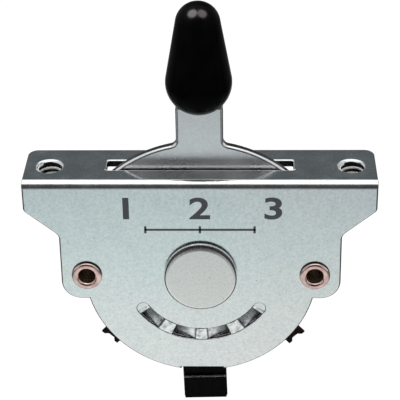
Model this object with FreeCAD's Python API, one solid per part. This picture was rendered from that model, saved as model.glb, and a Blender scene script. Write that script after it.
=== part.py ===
import FreeCAD, Part
import math
import os

Vector = FreeCAD.Vector

# Three-way lever switch, as fitted under an instrument's top plate.
# Millimetres. X runs to the right, Y to the rear, Z up.
# The origin is midway between the two mounting holes, on the flange's top face.
# Angles in degrees are counted about the pivot from straight down, positive to the right.

# Mounting holes: plunged, then tapped
HOLE_SPACING = 41.28
TAPPED_BORE_R = 1.6
TAPPED_RIM_R = 0.6
COLLAR_WALL = 0.55
COLLAR_DROP = 1.5
COLLAR_ROOT_R = 0.4

# Bracket: one folded sheet, with the flange on top and the plate in front
SHEET = 1.0
BEND_INNER_R = 0.1
PLATE_FRONT_Y = -4.75
FLANGE_REAR_Y = 5.0
FLANGE_HALF_WIDTH = 24.0
FLANGE_CORNER_R = 1.4
SHOULDER_DROP = 4.45
SHOULDER_CORNER_R = 0.8
SHOULDER_SLOPE = 39.6
EAR_PAST_EYELET = 3.59
EAR_TOP_R = 1.2
EAR_BOTTOM_DROP = 18.42
EAR_BOTTOM_R = 2.7
PLATE_LOW_R = 16.05
NOTCH_HALF_WIDTH = 2.95
NOTCH_DEPTH = 0.53

# Slot that the lever comes up through
SLOT_HALF_LENGTH = 12.75
SLOT_FRONT_Y = -1.0
SLOT_REAR_Y = 1.7
SLOT_CORNER_R = 0.25

# Pivot and its turning shaft
PIVOT_DROP = 14.55
SHAFT_R = 2.5
SHAFT_CLEARANCE = 0.05
SHAFT_HEAD_R = 4.92
SHAFT_HEAD_HEIGHT = 1.1
SHAFT_HEAD_EDGE = 0.15
SHAFT_FLAT_HALF = 2.0
END_PLAY = 0.05
SEAT_CLEARANCE = 0.02
BUSH_WALL = 1.05
RING_GROOVE_R = 1.9
RING_OUTER_R = 3.5
RING_SHEET = 0.4
RING_MOUTH_HALF = 1.6
TANG_HALF_LENGTH = 2.3
TANG_HALF_THICKNESS = 0.8
TANG_PAST_ROTOR = 0.5

# Detent track: a strip cut free along two arcs, pressed rearwards into four humps
TRACK_INNER_R = 8.85
TRACK_OUTER_R = 10.7
TRACK_SLIT = 0.06
TRACK_HALF_ANGLE = 56.0
DETENT_STEP = 30.0
DETENT_DEPTH = 0.8
VALLEY_INNER_HALF = 3.0
HUMP_RISE_SPAN = 16.8
HUMP_FALL_SPAN = 3.7
RISE_STEPS = 6
FALL_STEPS = 3
END_STEP_DEPTH = 0.08

# Lever: one flat stamping
LEVER_SHEET = 1.2
SECTOR_R = 18.25
SECTOR_HALF_ANGLE = 48.0
SECTOR_CORNER_R = 1.2
BLADE_HALF_WIDTH = 3.2
BLADE_TOP = 9.15
BLADE_ROOT_R = 0.9
KNOB_TANG_HALF_WIDTH = 2.0
KNOB_TANG_TOP = 17.0
HUB_R = 4.6
HUB_FILLET_R = 1.5
LEG_HALF_WIDTH = 2.6
LEG_END_R = 21.6
LEG_CORNER_R = 0.8

# Knob: a pear shape turned about the lever's centre line
KNOB_LOW_CENTRE = 12.65
KNOB_LOW_R = 4.47
KNOB_HIGH_CENTRE = 20.95
KNOB_HIGH_R = 3.0
KNOB_FLAT_R = 1.1
KNOB_CLEARANCE = 0.02

# Detent spring: a steel leaf on the lever's leg, with its nose in the track
LEAF_SHEET = 0.4
LEAF_HALF_WIDTH = 3.15
LEAF_TONGUE_HALF_WIDTH = 1.2
LEAF_BOTTOM_DROP = 37.85
LEAF_HEM_HEIGHT = 3.9
LEAF_HEM_INNER_R = 0.1
LEAF_HEM_INSET = 0.12
LEAF_CORNER_R = 0.3
LEAF_BEND_R = 1.0
LEAF_TONGUE_PAST_NOSE = 1.5
LEAF_BEND_HIGH_R = 11.4
LEAF_BEND_LOW_R = 14.9
LEAF_SKEW = 1.6
NOSE_TIP_R = 0.55
NOSE_BASE_R = 0.95
NOSE_CLEARANCE = 0.02
HUMP_CLEARANCE = 0.12
LEAF_RIVET_AT_R = 16.7
LEAF_RIVET_HALF_SPACING = 1.35
LEAF_RIVET_R = 0.6
LEAF_RIVET_HEAD_R = 1.05
LEAF_RIVET_HEAD_HEIGHT = 0.25

# Eyelets and spacers that carry the wafer on the plate's ears
EYELET_HALF_SPREAD = 15.76
EYELET_BORE_R = 1.1
EYELET_WALL = 0.4
EYELET_CLEARANCE = 0.05
EYELET_HEAD_R = 2.1
EYELET_HEAD_HEIGHT = 0.55
EYELET_CLINCH_R = 2.0
EYELET_CLINCH_HEIGHT = 0.5
SPACER_OUTER_R = 2.2

# Stator wafer and the terminals on it
TERMINAL_GAP = 0.6
TERMINAL_SHEET = 0.4
WAFER_THICKNESS = 1.6
WAFER_R = 14.8
WAFER_EAR_R = 3.0
WAFER_UNDER_FLANGE = 1.0
COMMON_ANGLE = 43.6
THROW_MIDDLE_ANGLE = 105.0
COMMON_TIP_R = 19.86
THROW_TIP_R = 17.2
TERMINAL_HALF_WIDTH = 1.5
TERMINAL_HORN = 0.45
TERMINAL_HORN_WIDTH = 0.55
FINGER_HALF_WIDTH = 0.75
FINGER_NECK_R = 8.6
REAR_FINGER_END_R = 13.4
REAR_FINGER_CORNER = 0.5
COMMON_FINGER_R = 4.1
THROW_FINGER_R = 5.4
SOLDER_HOLE_R = 0.65
SOLDER_HOLE_FROM_TIP = 1.5
TERMINAL_RIVET_AT_R = 12.0
TERMINAL_RIVET_R = 0.6
TERMINAL_RIVET_HEAD_R = 1.0
TERMINAL_RIVET_HEAD_HEIGHT = 0.25

# Rotor that turns in the wafer, with a pair of contacts on each face
ROTOR_R = 6.6
ROTOR_CLEARANCE = 0.15
CONTACT_SHEET = 0.25
CONTACT_GAP = 0.05
CONTACT_INNER_R = 3.7
CONTACT_RAIL_R = 4.9
CONTACT_TAB_R = 6.2
CONTACT_TAB_HALF_ANGLE = 7.0
CONTACT_START_ANGLE = 8.0
CONTACT_RIVET_R = 0.35
CONTACT_RIVET_ANGLES = (28.0, 88.0)

# Worked out from the sizes above
PIVOT_Z = -PIVOT_DROP
PIVOT = Vector(0, 0, PIVOT_Z)
Y_AXIS = Vector(0, 1, 0)
Z_AXIS = Vector(0, 0, 1)
PLATE_BACK_Y = PLATE_FRONT_Y + SHEET
LEVER_FRONT_Y = -LEVER_SHEET / 2
LEVER_BACK_Y = LEVER_SHEET / 2
TERMINAL_FRONT_Y = LEVER_BACK_Y + TERMINAL_GAP
WAFER_FRONT_Y = TERMINAL_FRONT_Y + TERMINAL_SHEET
WAFER_BACK_Y = WAFER_FRONT_Y + WAFER_THICKNESS
REAR_FINGER_BACK_Y = WAFER_BACK_Y + TERMINAL_SHEET
CONTACT_FRONT_Y = WAFER_FRONT_Y + CONTACT_GAP
ROTOR_FRONT_Y = CONTACT_FRONT_Y + CONTACT_SHEET
CONTACT_BACK_Y = WAFER_BACK_Y - CONTACT_GAP
ROTOR_BACK_Y = CONTACT_BACK_Y - CONTACT_SHEET
RING_FRONT_Y = LEVER_BACK_Y + END_PLAY
RING_BACK_Y = RING_FRONT_Y + RING_SHEET
EYELET_R = EYELET_BORE_R + EYELET_WALL
EYELET_HOLE_R = EYELET_R + EYELET_CLEARANCE
NOSE_R = (TRACK_INNER_R + TRACK_OUTER_R) / 2
EAR_HALF_WIDTH = EYELET_HALF_SPREAD + EAR_PAST_EYELET
FAR = 60.0


def front_view(y):
    """Places a point of the front view (x, z) at a depth."""
    return lambda u, v: Vector(u, y, v)


def side_view(x):
    """Places a point of the side view (y, z) at a width."""
    return lambda u, v: Vector(x, u, v)


def top_view(z):
    """Places a point of the top view (x, y) at a height."""
    return lambda u, v: Vector(u, v, z)


def corner(before, at, after, radius):
    """Start, middle, end and centre of the arc that rounds a corner."""
    back = (before - at).normalize()
    on = (after - at).normalize()
    half = back.getAngle(on) / 2
    start = at + back * (radius / math.tan(half))
    end = at + on * (radius / math.tan(half))
    centre = at + (back + on).normalize() * (radius / math.sin(half))
    middle = centre + (at - centre).normalize() * radius
    return start, middle, end, centre


def chain(points):
    """Edges through a list of points, where a tuple holds an arc's start, middle and end."""
    edges = []
    here = None
    for item in points:
        start = item[0] if isinstance(item, tuple) else item
        if here is not None and here.distanceToPoint(start) > 1e-7:
            edges.append(Part.LineSegment(here, start).toShape())
        here = start
        if isinstance(item, tuple):
            edges.append(Part.Arc(*item).toShape())
            here = item[2]
    return edges


def outline(corners, place):
    """Closed wire through corners (u, v, radius), each rounded by its radius."""
    flat = [Vector(u, v, 0) for u, v, _ in corners]
    items = []
    for i, (_, _, radius) in enumerate(corners):
        if radius > 0:
            start, middle, end, _ = corner(flat[i - 1], flat[i], flat[(i + 1) % len(flat)], radius)
            items.append(tuple(place(p.x, p.y) for p in (start, middle, end)))
        else:
            items.append(place(flat[i].x, flat[i].y))
    first = items[0][0] if isinstance(items[0], tuple) else items[0]
    return Part.Wire(chain(items + [first]))


def bent_sheet_outline(path, thickness, place):
    """Closed wire of a bent sheet's section. The path (u, v, bend radius) runs mid-thickness."""
    half = thickness / 2
    flat = [Vector(u, v, 0) for u, v, _ in path]
    left, right = [], []
    for i, (_, _, radius) in enumerate(path):
        if 0 < i < len(path) - 1:
            start, middle, end, centre = corner(flat[i - 1], flat[i], flat[i + 1], radius)
            out = (middle - centre).normalize()
            turn = 1 if (flat[i] - flat[i - 1]).cross(flat[i + 1] - flat[i]).z > 0 else -1
            ends = [(start - centre).normalize(), out, (end - centre).normalize()]
            for side, points in ((-1, left), (1, right)):
                reach = radius + side * turn * half
                points.append(tuple(place(*(centre + d * reach)[:2]) for d in ends))
        else:
            on = (flat[1] - flat[0]) if i == 0 else (flat[-1] - flat[-2])
            across = Vector(-on.y, on.x, 0).normalize() * half
            left.append(place(*(flat[i] + across)[:2]))
            right.append(place(*(flat[i] - across)[:2]))
    back = [tuple(reversed(p)) if isinstance(p, tuple) else p for p in reversed(right)]
    return Part.Wire(chain(left + back + [left[0]]))


def prism_y(corners, y0, y1):
    """Front-view outline made solid between two depths."""
    return Part.Face(outline(corners, front_view(y0))).extrude(Vector(0, y1 - y0, 0))


def disc(radius, y0, y1, x=0.0, z=PIVOT_Z):
    """Round solid along Y."""
    return Part.makeCylinder(radius, y1 - y0, Vector(x, y0, z), Y_AXIS)


def ring(outer, inner, y0, y1, x=0.0, z=PIVOT_Z):
    """Tube along Y."""
    return disc(outer, y0, y1, x, z).cut(disc(inner, y0, y1, x, z))


def turned(profile, x, z):
    """Solid turned about a line along Y, from corners (radius, y, rounding)."""
    face = Part.Face(outline(profile, lambda r, y: Vector(x + r, y, z)))
    return face.revolve(Vector(x, 0, z), Y_AXIS, 360)


def swung(shape, angle):
    """A copy of a shape turned about the pivot from straight down."""
    copy = shape.copy()
    copy.rotate(PIVOT, Y_AXIS, -angle)
    return copy


def below_pivot(r):
    """Height of a point straight below the pivot."""
    return PIVOT_Z - r


def ring_sector(inner, outer, y0, y1, from_angle, to_angle):
    """Part of a flat ring between two angles."""
    high, low = below_pivot(inner), below_pivot(outer)
    wire = outline([(y0, high, 0), (y1, high, 0), (y1, low, 0), (y0, low, 0)], side_view(0))
    return Part.Face(swung(wire, from_angle)).revolve(PIVOT, Y_AXIS, from_angle - to_angle)


def at_angle(r, angle):
    """Front-view place (x, z) of a point about the pivot."""
    a = math.radians(angle)
    return r * math.sin(a), PIVOT_Z - r * math.cos(a)


def edges_at(shape, places, tolerance=0.05):
    """The edges along Y that stand at the given front-view places."""
    found = []
    for edge in shape.Edges:
        a, b = edge.Vertexes[0].Point, edge.Vertexes[-1].Point
        along = abs(a.x - b.x) + abs(a.z - b.z) < 1e-6 and abs(a.y - b.y) > 1e-6
        if along and any(math.hypot(a.x - x, a.z - z) < tolerance for x, z in places):
            found.append(edge)
    return found


def both_sides(places):
    """Front-view places with their mirror images."""
    return places + [(-x, z) for x, z in places]


def fused(shapes):
    """One clean solid from shapes that touch."""
    return shapes[0].fuse(shapes[1:]).removeSplitter()


# Bracket

def bracket_sheet():
    """The folded sheet with its outline cut, before any hole."""
    low = below_pivot(PLATE_LOW_R) - 1
    section = [
        (PLATE_FRONT_Y, low, 0),
        (PLATE_FRONT_Y, 0, BEND_INNER_R + SHEET),
        (FLANGE_REAR_Y, 0, 0),
        (FLANGE_REAR_Y, -SHEET, 0),
        (PLATE_BACK_Y, -SHEET, BEND_INNER_R),
        (PLATE_BACK_Y, low, 0),
    ]
    folded = Part.Face(outline(section, side_view(-FLANGE_HALF_WIDTH)))
    folded = folded.extrude(Vector(2 * FLANGE_HALF_WIDTH, 0, 0))

    shoulder = FLANGE_HALF_WIDTH - EAR_HALF_WIDTH
    ear_top = -SHOULDER_DROP - shoulder * math.tan(math.radians(SHOULDER_SLOPE))
    right = [
        (FLANGE_HALF_WIDTH, SHEET, 0),
        (FLANGE_HALF_WIDTH, -SHOULDER_DROP, SHOULDER_CORNER_R),
        (EAR_HALF_WIDTH, ear_top, EAR_TOP_R),
        (EAR_HALF_WIDTH, -EAR_BOTTOM_DROP, EAR_BOTTOM_R),
    ]
    left = [(-x, z, r) for x, z, r in reversed(right)]
    y0, y1 = PLATE_FRONT_Y - 1, FLANGE_REAR_Y + 1
    front = prism_y(right + left, y0, y1)
    lower_half = Part.makeBox(2 * FAR, y1 - y0, FAR, Vector(-FAR, y0, PIVOT_Z - FAR))
    front = front.fuse(disc(PLATE_LOW_R, y0, y1).common(lower_half))

    top = outline(
        [
            (-FLANGE_HALF_WIDTH, y0, 0),
            (FLANGE_HALF_WIDTH, y0, 0),
            (FLANGE_HALF_WIDTH, FLANGE_REAR_Y, FLANGE_CORNER_R),
            (-FLANGE_HALF_WIDTH, FLANGE_REAR_Y, FLANGE_CORNER_R),
        ],
        top_view(-FAR),
    )
    above = Part.Face(top).extrude(Vector(0, 0, 2 * FAR))
    return folded.common(front).common(above)


def tapped_hole(x):
    """Collar and bore of one plunged mounting hole: the solid to add and the solid to cut."""
    outer = TAPPED_BORE_R + COLLAR_WALL
    mouth_r = TAPPED_BORE_R + TAPPED_RIM_R
    place = lambda r, z: Vector(x + r, 0, z)
    low = -SHEET - COLLAR_DROP
    collar = [
        (0, -SHEET / 2, 0),
        (outer + COLLAR_ROOT_R, -SHEET / 2, 0),
        (outer + COLLAR_ROOT_R, -SHEET, 0),
        (outer, -SHEET, 0),
        (outer, low, 0),
        (0, low, 0),
    ]
    bore = [
        (0, 1, 0),
        (mouth_r, 1, 0),
        (mouth_r, 0, 0),
        (TAPPED_BORE_R, 0, 0),
        (TAPPED_BORE_R, low - 1, 0),
        (0, low - 1, 0),
    ]
    axis = Vector(x, 0, 0)
    add = Part.Face(outline(collar, place)).revolve(axis, Z_AXIS, 360)
    cut = Part.Face(outline(bore, place)).revolve(axis, Z_AXIS, 360)
    rim_centre = Vector(x, 0, -TAPPED_RIM_R)
    rim = Part.makeTorus(mouth_r, TAPPED_RIM_R, rim_centre, Z_AXIS)
    mouth = Part.makeCylinder(mouth_r, TAPPED_RIM_R, rim_centre, Z_AXIS)
    return add, cut.fuse(mouth.cut(rim))


def track_profile():
    """The detent strip's depth by angle, from the middle to its right-hand end."""
    knots = [(0.0, 0.0)]
    for start in (VALLEY_INNER_HALF, DETENT_STEP + VALLEY_INNER_HALF):
        for i in range(RISE_STEPS + 1):
            share = i / RISE_STEPS
            knots.append((start + share * HUMP_RISE_SPAN, DETENT_DEPTH * math.sin(share * math.pi / 2)))
        for i in range(1, FALL_STEPS + 1):
            share = i / FALL_STEPS
            angle = start + HUMP_RISE_SPAN + share * HUMP_FALL_SPAN
            knots.append((angle, DETENT_DEPTH * math.cos(share * math.pi / 2)))
    return knots + [(TRACK_HALF_ANGLE, 0.0)]


def track_section(angle, depth):
    """Section of the detent strip in the radial plane at an angle."""
    y0, y1 = PLATE_FRONT_Y + depth, PLATE_BACK_Y + depth
    high, low = below_pivot(TRACK_INNER_R + TRACK_SLIT), below_pivot(TRACK_OUTER_R - TRACK_SLIT)
    wire = outline([(y0, high, 0), (y1, high, 0), (y1, low, 0), (y0, low, 0)], side_view(0))
    return swung(wire, angle)


def track_strip():
    """The whole detent strip, level stretches and ramps in turn."""
    right = track_profile()
    knots = [(-a, d) for a, d in reversed(right[1:])] + right
    pieces = []
    for (a0, d0), (a1, d1) in zip(knots, knots[1:]):
        start = track_section(a0, d0)
        if abs(d0 - d1) < 1e-9:
            pieces.append(Part.Face(start).revolve(PIVOT, Y_AXIS, a0 - a1))
        else:
            pieces.append(Part.makeLoft([start, track_section(a1, d1)], True, True))
    return pieces


def track_opening():
    """The ring sector that the detent strip is cut free in."""
    y0, y1 = PLATE_FRONT_Y - 1, PLATE_BACK_Y + 1
    return ring_sector(TRACK_INNER_R, TRACK_OUTER_R, y0, y1, -TRACK_HALF_ANGLE, TRACK_HALF_ANGLE)


def track_end_step(side):
    """Shallow half-round step that the press leaves past an end of the strip."""
    radius = (TRACK_OUTER_R - TRACK_INNER_R) / 2
    step = disc(radius, PLATE_FRONT_Y - 1, PLATE_FRONT_Y + END_STEP_DEPTH, 0, below_pivot(NOSE_R))
    beyond = Part.makeBox(FAR, FAR, FAR, Vector(0, PLATE_FRONT_Y - FAR / 2, PIVOT_Z - FAR / 2))
    right = swung(step.common(beyond), TRACK_HALF_ANGLE)
    return right if side > 0 else right.mirror(PIVOT, Vector(1, 0, 0))


def plate_notch():
    """Block that trims the plate's lowest edge straight, in front of the spring's tail."""
    top = below_pivot(PLATE_LOW_R) + NOTCH_DEPTH
    return Part.makeBox(
        2 * NOTCH_HALF_WIDTH, SHEET + 2, FAR, Vector(-NOTCH_HALF_WIDTH, PLATE_FRONT_Y - 1, top - FAR)
    )


def make_frame():
    """Bracket with its slot, tapped holes, rivet holes, pivot bore and detent track."""
    body = bracket_sheet()
    slot = outline(
        [
            (-SLOT_HALF_LENGTH, SLOT_FRONT_Y, SLOT_CORNER_R),
            (SLOT_HALF_LENGTH, SLOT_FRONT_Y, SLOT_CORNER_R),
            (SLOT_HALF_LENGTH, SLOT_REAR_Y, SLOT_CORNER_R),
            (-SLOT_HALF_LENGTH, SLOT_REAR_Y, SLOT_CORNER_R),
        ],
        top_view(-SHEET - 1),
    )
    cuts = [Part.Face(slot).extrude(Vector(0, 0, SHEET + 2))]
    cuts.append(disc(SHAFT_R + SHAFT_CLEARANCE, PLATE_FRONT_Y - 1, PLATE_BACK_Y + 1))
    for side in (-1, 1):
        x = side * EYELET_HALF_SPREAD
        cuts.append(disc(EYELET_HOLE_R, PLATE_FRONT_Y - 1, PLATE_BACK_Y + 1, x))
        collar, bore = tapped_hole(side * HOLE_SPACING / 2)
        body = body.fuse(collar)
        cuts += [bore, track_end_step(side)]
    cuts += [track_opening(), plate_notch()]
    body = body.cut(cuts)
    return fused([body] + track_strip())


# Lever, knob and shaft

def double_flat(y0, y1, clearance):
    """Shaft section with two flats, which the lever is keyed on."""
    half = SHAFT_FLAT_HALF + clearance
    block = Part.makeBox(2 * FAR, y1 - y0, 2 * half, Vector(-FAR, y0, PIVOT_Z - half))
    return disc(SHAFT_R + clearance, y0, y1).common(block)


def make_lever():
    """Blade, sector, hub and leg, stamped from one sheet."""
    y0, y1 = LEVER_FRONT_Y, LEVER_BACK_Y
    tip = [at_angle(SECTOR_R, 180 + turn) for turn in (-SECTOR_HALF_ANGLE, SECTOR_HALF_ANGLE)]
    place = front_view(y0)
    middle = place(0, PIVOT_Z)
    arc = (place(*tip[0]), place(0, PIVOT_Z + SECTOR_R), place(*tip[1]))
    sector = Part.Face(Part.Wire(chain([middle, arc, middle]))).extrude(Vector(0, y1 - y0, 0))
    top = [(KNOB_TANG_HALF_WIDTH, BLADE_TOP, 0), (KNOB_TANG_HALF_WIDTH, KNOB_TANG_TOP, 0.3)]
    blade = [(BLADE_HALF_WIDTH, PIVOT_Z, 0), (BLADE_HALF_WIDTH, BLADE_TOP, 0.15)] + top
    blade = prism_y(blade + [(-x, z, r) for x, z, r in reversed(blade)], y0, y1)
    leg_end = below_pivot(LEG_END_R)
    leg = [(LEG_HALF_WIDTH, PIVOT_Z, 0), (LEG_HALF_WIDTH, leg_end, LEG_CORNER_R)]
    leg = prism_y(leg + [(-x, z, r) for x, z, r in reversed(leg)], y0, y1)
    body = fused([sector, blade, leg, disc(HUB_R, y0, y1)])

    root_z = PIVOT_Z + math.sqrt(SECTOR_R**2 - BLADE_HALF_WIDTH**2)
    body = body.makeFillet(BLADE_ROOT_R, edges_at(body, both_sides([(BLADE_HALF_WIDTH, root_z)])))
    body = body.makeFillet(SECTOR_CORNER_R, edges_at(body, both_sides([tip[0]])))
    hub = [
        at_angle(HUB_R, 180 - SECTOR_HALF_ANGLE),
        (LEG_HALF_WIDTH, PIVOT_Z - math.sqrt(HUB_R**2 - LEG_HALF_WIDTH**2)),
    ]
    body = body.makeFillet(HUB_FILLET_R, edges_at(body, both_sides(hub)))
    holes = [double_flat(y0, y1, SEAT_CLEARANCE)]
    holes += [disc(LEAF_RIVET_R, y0, y1, x, z) for x, z in leaf_rivet_places()]
    return body.cut(holes)


def make_knob():
    """Pear-shaped knob with the pocket that the lever's top sits in."""
    lean = math.asin((KNOB_LOW_R - KNOB_HIGH_R) / (KNOB_HIGH_CENTRE - KNOB_LOW_CENTRE))
    flat_z = KNOB_LOW_CENTRE - math.sqrt(KNOB_LOW_R**2 - KNOB_FLAT_R**2)
    point = lambda r, z: Vector(r, 0, z)
    on_low = lambda a: point(KNOB_LOW_R * math.cos(a), KNOB_LOW_CENTRE + KNOB_LOW_R * math.sin(a))
    on_high = lambda a: point(KNOB_HIGH_R * math.cos(a), KNOB_HIGH_CENTRE + KNOB_HIGH_R * math.sin(a))
    start = math.atan2(flat_z - KNOB_LOW_CENTRE, KNOB_FLAT_R)
    profile = chain(
        [
            point(0, flat_z),
            (point(KNOB_FLAT_R, flat_z), on_low((start + lean) / 2), on_low(lean)),
            (on_high(lean), on_high((lean + math.pi / 2) / 2), on_high(math.pi / 2)),
            point(0, flat_z),
        ]
    )
    body = Part.Face(Part.Wire(profile)).revolve(Vector(0, 0, 0), Z_AXIS, 360)
    gap = KNOB_CLEARANCE
    y0, y1 = LEVER_FRONT_Y - gap, LEVER_BACK_Y + gap
    pockets = []
    for half, low, high in (
        (BLADE_HALF_WIDTH + gap, 0.0, BLADE_TOP + gap),
        (KNOB_TANG_HALF_WIDTH + gap, 0.0, KNOB_TANG_TOP + gap),
    ):
        pockets.append(Part.makeBox(2 * half, y1 - y0, high - low, Vector(-half, y0, low)))
    return body.cut(pockets)


def make_pivot_shaft():
    """Headed shaft: round in the plate, two flats in the lever, a flat tang in the rotor."""
    front = PLATE_FRONT_Y - END_PLAY - SHAFT_HEAD_HEIGHT
    head = [
        (0, front, 0),
        (SHAFT_HEAD_R - SHAFT_HEAD_EDGE, front, 0),
        (SHAFT_HEAD_R, front + SHAFT_HEAD_EDGE, 0),
        (SHAFT_HEAD_R, PLATE_FRONT_Y - END_PLAY, 0),
        (0, PLATE_FRONT_Y - END_PLAY, 0),
    ]
    keyed_front = LEVER_FRONT_Y - END_PLAY
    ring_land = RING_BACK_Y + 2 * SEAT_CLEARANCE
    tang_end = ROTOR_BACK_Y + TANG_PAST_ROTOR
    tang = Part.makeBox(
        2 * TANG_HALF_LENGTH,
        tang_end - ring_land,
        2 * TANG_HALF_THICKNESS,
        Vector(-TANG_HALF_LENGTH, ring_land, PIVOT_Z - TANG_HALF_THICKNESS),
    )
    return fused(
        [
            turned(head, 0, PIVOT_Z),
            disc(SHAFT_R, PLATE_FRONT_Y - END_PLAY, keyed_front),
            double_flat(keyed_front, RING_FRONT_Y - SEAT_CLEARANCE, 0),
            disc(RING_GROOVE_R, RING_FRONT_Y - SEAT_CLEARANCE, ring_land),
            tang,
        ]
    )


def make_thrust_bush():
    """Tube on the shaft that holds the lever off the plate."""
    inner = SHAFT_R + SEAT_CLEARANCE
    return ring(inner + BUSH_WALL, inner, PLATE_BACK_Y + END_PLAY, LEVER_FRONT_Y - SEAT_CLEARANCE)


def make_retaining_ring():
    """Open ring in the shaft's groove, behind the lever."""
    body = ring(RING_OUTER_R, RING_GROOVE_R + SEAT_CLEARANCE, RING_FRONT_Y, RING_BACK_Y)
    mouth = Part.makeBox(
        FAR,
        RING_SHEET,
        2 * RING_MOUTH_HALF,
        Vector(0, RING_FRONT_Y, PIVOT_Z - RING_MOUTH_HALF),
    )
    return body.cut(mouth)


# Detent spring

def nose_place():
    """Height of the spring's nose, in the middle valley."""
    return below_pivot(NOSE_R)


def skewed(shape):
    """A copy turned about the nose, as the leaf sits on the leg."""
    copy = shape.copy()
    copy.rotate(Vector(0, 0, nose_place()), Y_AXIS, -LEAF_SKEW)
    return copy


def leaf_rivet_places():
    """Front-view places of the two rivets that hold the leaf."""
    z = below_pivot(LEAF_RIVET_AT_R)
    turn = math.radians(LEAF_SKEW)
    drop = nose_place() - z
    places = []
    for x in (-LEAF_RIVET_HALF_SPACING, LEAF_RIVET_HALF_SPACING):
        places.append(
            (
                x * math.cos(turn) + drop * math.sin(turn),
                nose_place() + x * math.sin(turn) - drop * math.cos(turn),
            )
        )
    return places


def make_detent_spring():
    """Steel leaf with a formed nose, bent forward from the leg and hemmed at its lower end."""
    half = LEAF_SHEET / 2
    tongue_y = PLATE_BACK_Y + DETENT_DEPTH + HUMP_CLEARANCE + half
    leg_y = LEVER_FRONT_Y - half
    hem_r = LEAF_HEM_INNER_R + half
    bottom = -LEAF_BOTTOM_DROP + half
    tongue_top = nose_place() + LEAF_TONGUE_PAST_NOSE
    path = [
        (tongue_y, tongue_top, 0),
        (tongue_y, below_pivot(LEAF_BEND_HIGH_R), LEAF_BEND_R),
        (leg_y, below_pivot(LEAF_BEND_LOW_R), LEAF_BEND_R),
        (leg_y, bottom, hem_r),
        (leg_y - 2 * hem_r, bottom, hem_r),
        (leg_y - 2 * hem_r, bottom - half + LEAF_HEM_HEIGHT, 0),
    ]
    section = bent_sheet_outline(path, LEAF_SHEET, side_view(-LEAF_HALF_WIDTH))
    leaf = Part.Face(section).extrude(Vector(2 * LEAF_HALF_WIDTH, 0, 0))
    right = [
        (LEAF_TONGUE_HALF_WIDTH, tongue_top, LEAF_TONGUE_HALF_WIDTH * 0.6),
        (LEAF_TONGUE_HALF_WIDTH, below_pivot(LEAF_BEND_HIGH_R), 0),
        (LEAF_HALF_WIDTH, below_pivot(LEAF_BEND_LOW_R), LEAF_BEND_R),
        (LEAF_HALF_WIDTH, -LEAF_BOTTOM_DROP, LEAF_CORNER_R),
    ]
    plan = right + [(-x, z, r) for x, z, r in reversed(right)]
    leaf = leaf.common(prism_y(plan, PLATE_BACK_Y, LEVER_BACK_Y))
    trims = []
    for x in (-LEAF_HALF_WIDTH - 1, LEAF_HALF_WIDTH - LEAF_HEM_INSET):
        trims.append(
            Part.makeBox(
                1 + LEAF_HEM_INSET,
                2 * hem_r,
                LEAF_HEM_HEIGHT + 1,
                Vector(x, leg_y - half - 2 * hem_r, bottom - half - 1),
            )
        )
    leaf = leaf.cut(trims)

    tip = PLATE_BACK_Y + NOSE_CLEARANCE
    base = tongue_y - half
    inner_tip = NOSE_TIP_R * 0.45
    outside = [
        (0, tip, 0),
        (NOSE_TIP_R, tip, NOSE_TIP_R * 0.9),
        (NOSE_BASE_R, base, 0),
        (NOSE_BASE_R, tongue_y, 0),
        (0, tongue_y, 0),
    ]
    inside = [
        (0, tip + LEAF_SHEET, 0),
        (inner_tip, tip + LEAF_SHEET, inner_tip * 0.9),
        (NOSE_BASE_R * 0.6, tongue_y + half, 0),
        (0, tongue_y + half, 0),
    ]
    leaf = leaf.fuse(turned(outside, 0, nose_place())).cut(turned(inside, 0, nose_place()))
    leaf = skewed(leaf)
    holes = [disc(LEAF_RIVET_R, leg_y - half, leg_y + half, x, z) for x, z in leaf_rivet_places()]
    return leaf.cut(holes).removeSplitter()


def riveted(x, z, shank_r, head_r, head_height, y0, y1):
    """A rivet with a low flat head at each end."""
    profile = [
        (0, y0 - head_height, 0),
        (head_r, y0 - head_height, 0),
        (head_r, y0, 0),
        (shank_r, y0, 0),
        (shank_r, y1, 0),
        (head_r, y1, 0),
        (head_r, y1 + head_height, 0),
        (0, y1 + head_height, 0),
    ]
    return turned(profile, x, z)


def make_spring_rivets():
    """The two rivets through the leaf and the leg."""
    y0 = LEVER_FRONT_Y - LEAF_SHEET
    return Part.makeCompound(
        [
            riveted(x, z, LEAF_RIVET_R, LEAF_RIVET_HEAD_R, LEAF_RIVET_HEAD_HEIGHT, y0, LEVER_BACK_Y)
            for x, z in leaf_rivet_places()
        ]
    )


# Eyelets, spacers and wafer

def make_eyelet(side):
    """Hollow rivet from the plate's ear to the wafer's back, rolled over at both ends."""
    head = PLATE_FRONT_Y - EYELET_HEAD_HEIGHT
    clinch = WAFER_BACK_Y + EYELET_CLINCH_HEIGHT
    profile = [
        (EYELET_BORE_R, head, 0),
        (EYELET_HEAD_R, head, EYELET_HEAD_HEIGHT * 0.75),
        (EYELET_HEAD_R, PLATE_FRONT_Y, 0),
        (EYELET_R, PLATE_FRONT_Y, 0),
        (EYELET_R, WAFER_BACK_Y, 0),
        (EYELET_CLINCH_R, WAFER_BACK_Y, 0),
        (EYELET_CLINCH_R - EYELET_CLINCH_HEIGHT / 2, clinch, 0),
        (EYELET_BORE_R, clinch, 0),
    ]
    return turned(profile, side * EYELET_HALF_SPREAD, PIVOT_Z)


def make_spacer(side):
    """Tube between the plate's ear and the wafer."""
    return ring(SPACER_OUTER_R, EYELET_HOLE_R, PLATE_BACK_Y, WAFER_FRONT_Y, side * EYELET_HALF_SPREAD)


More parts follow.
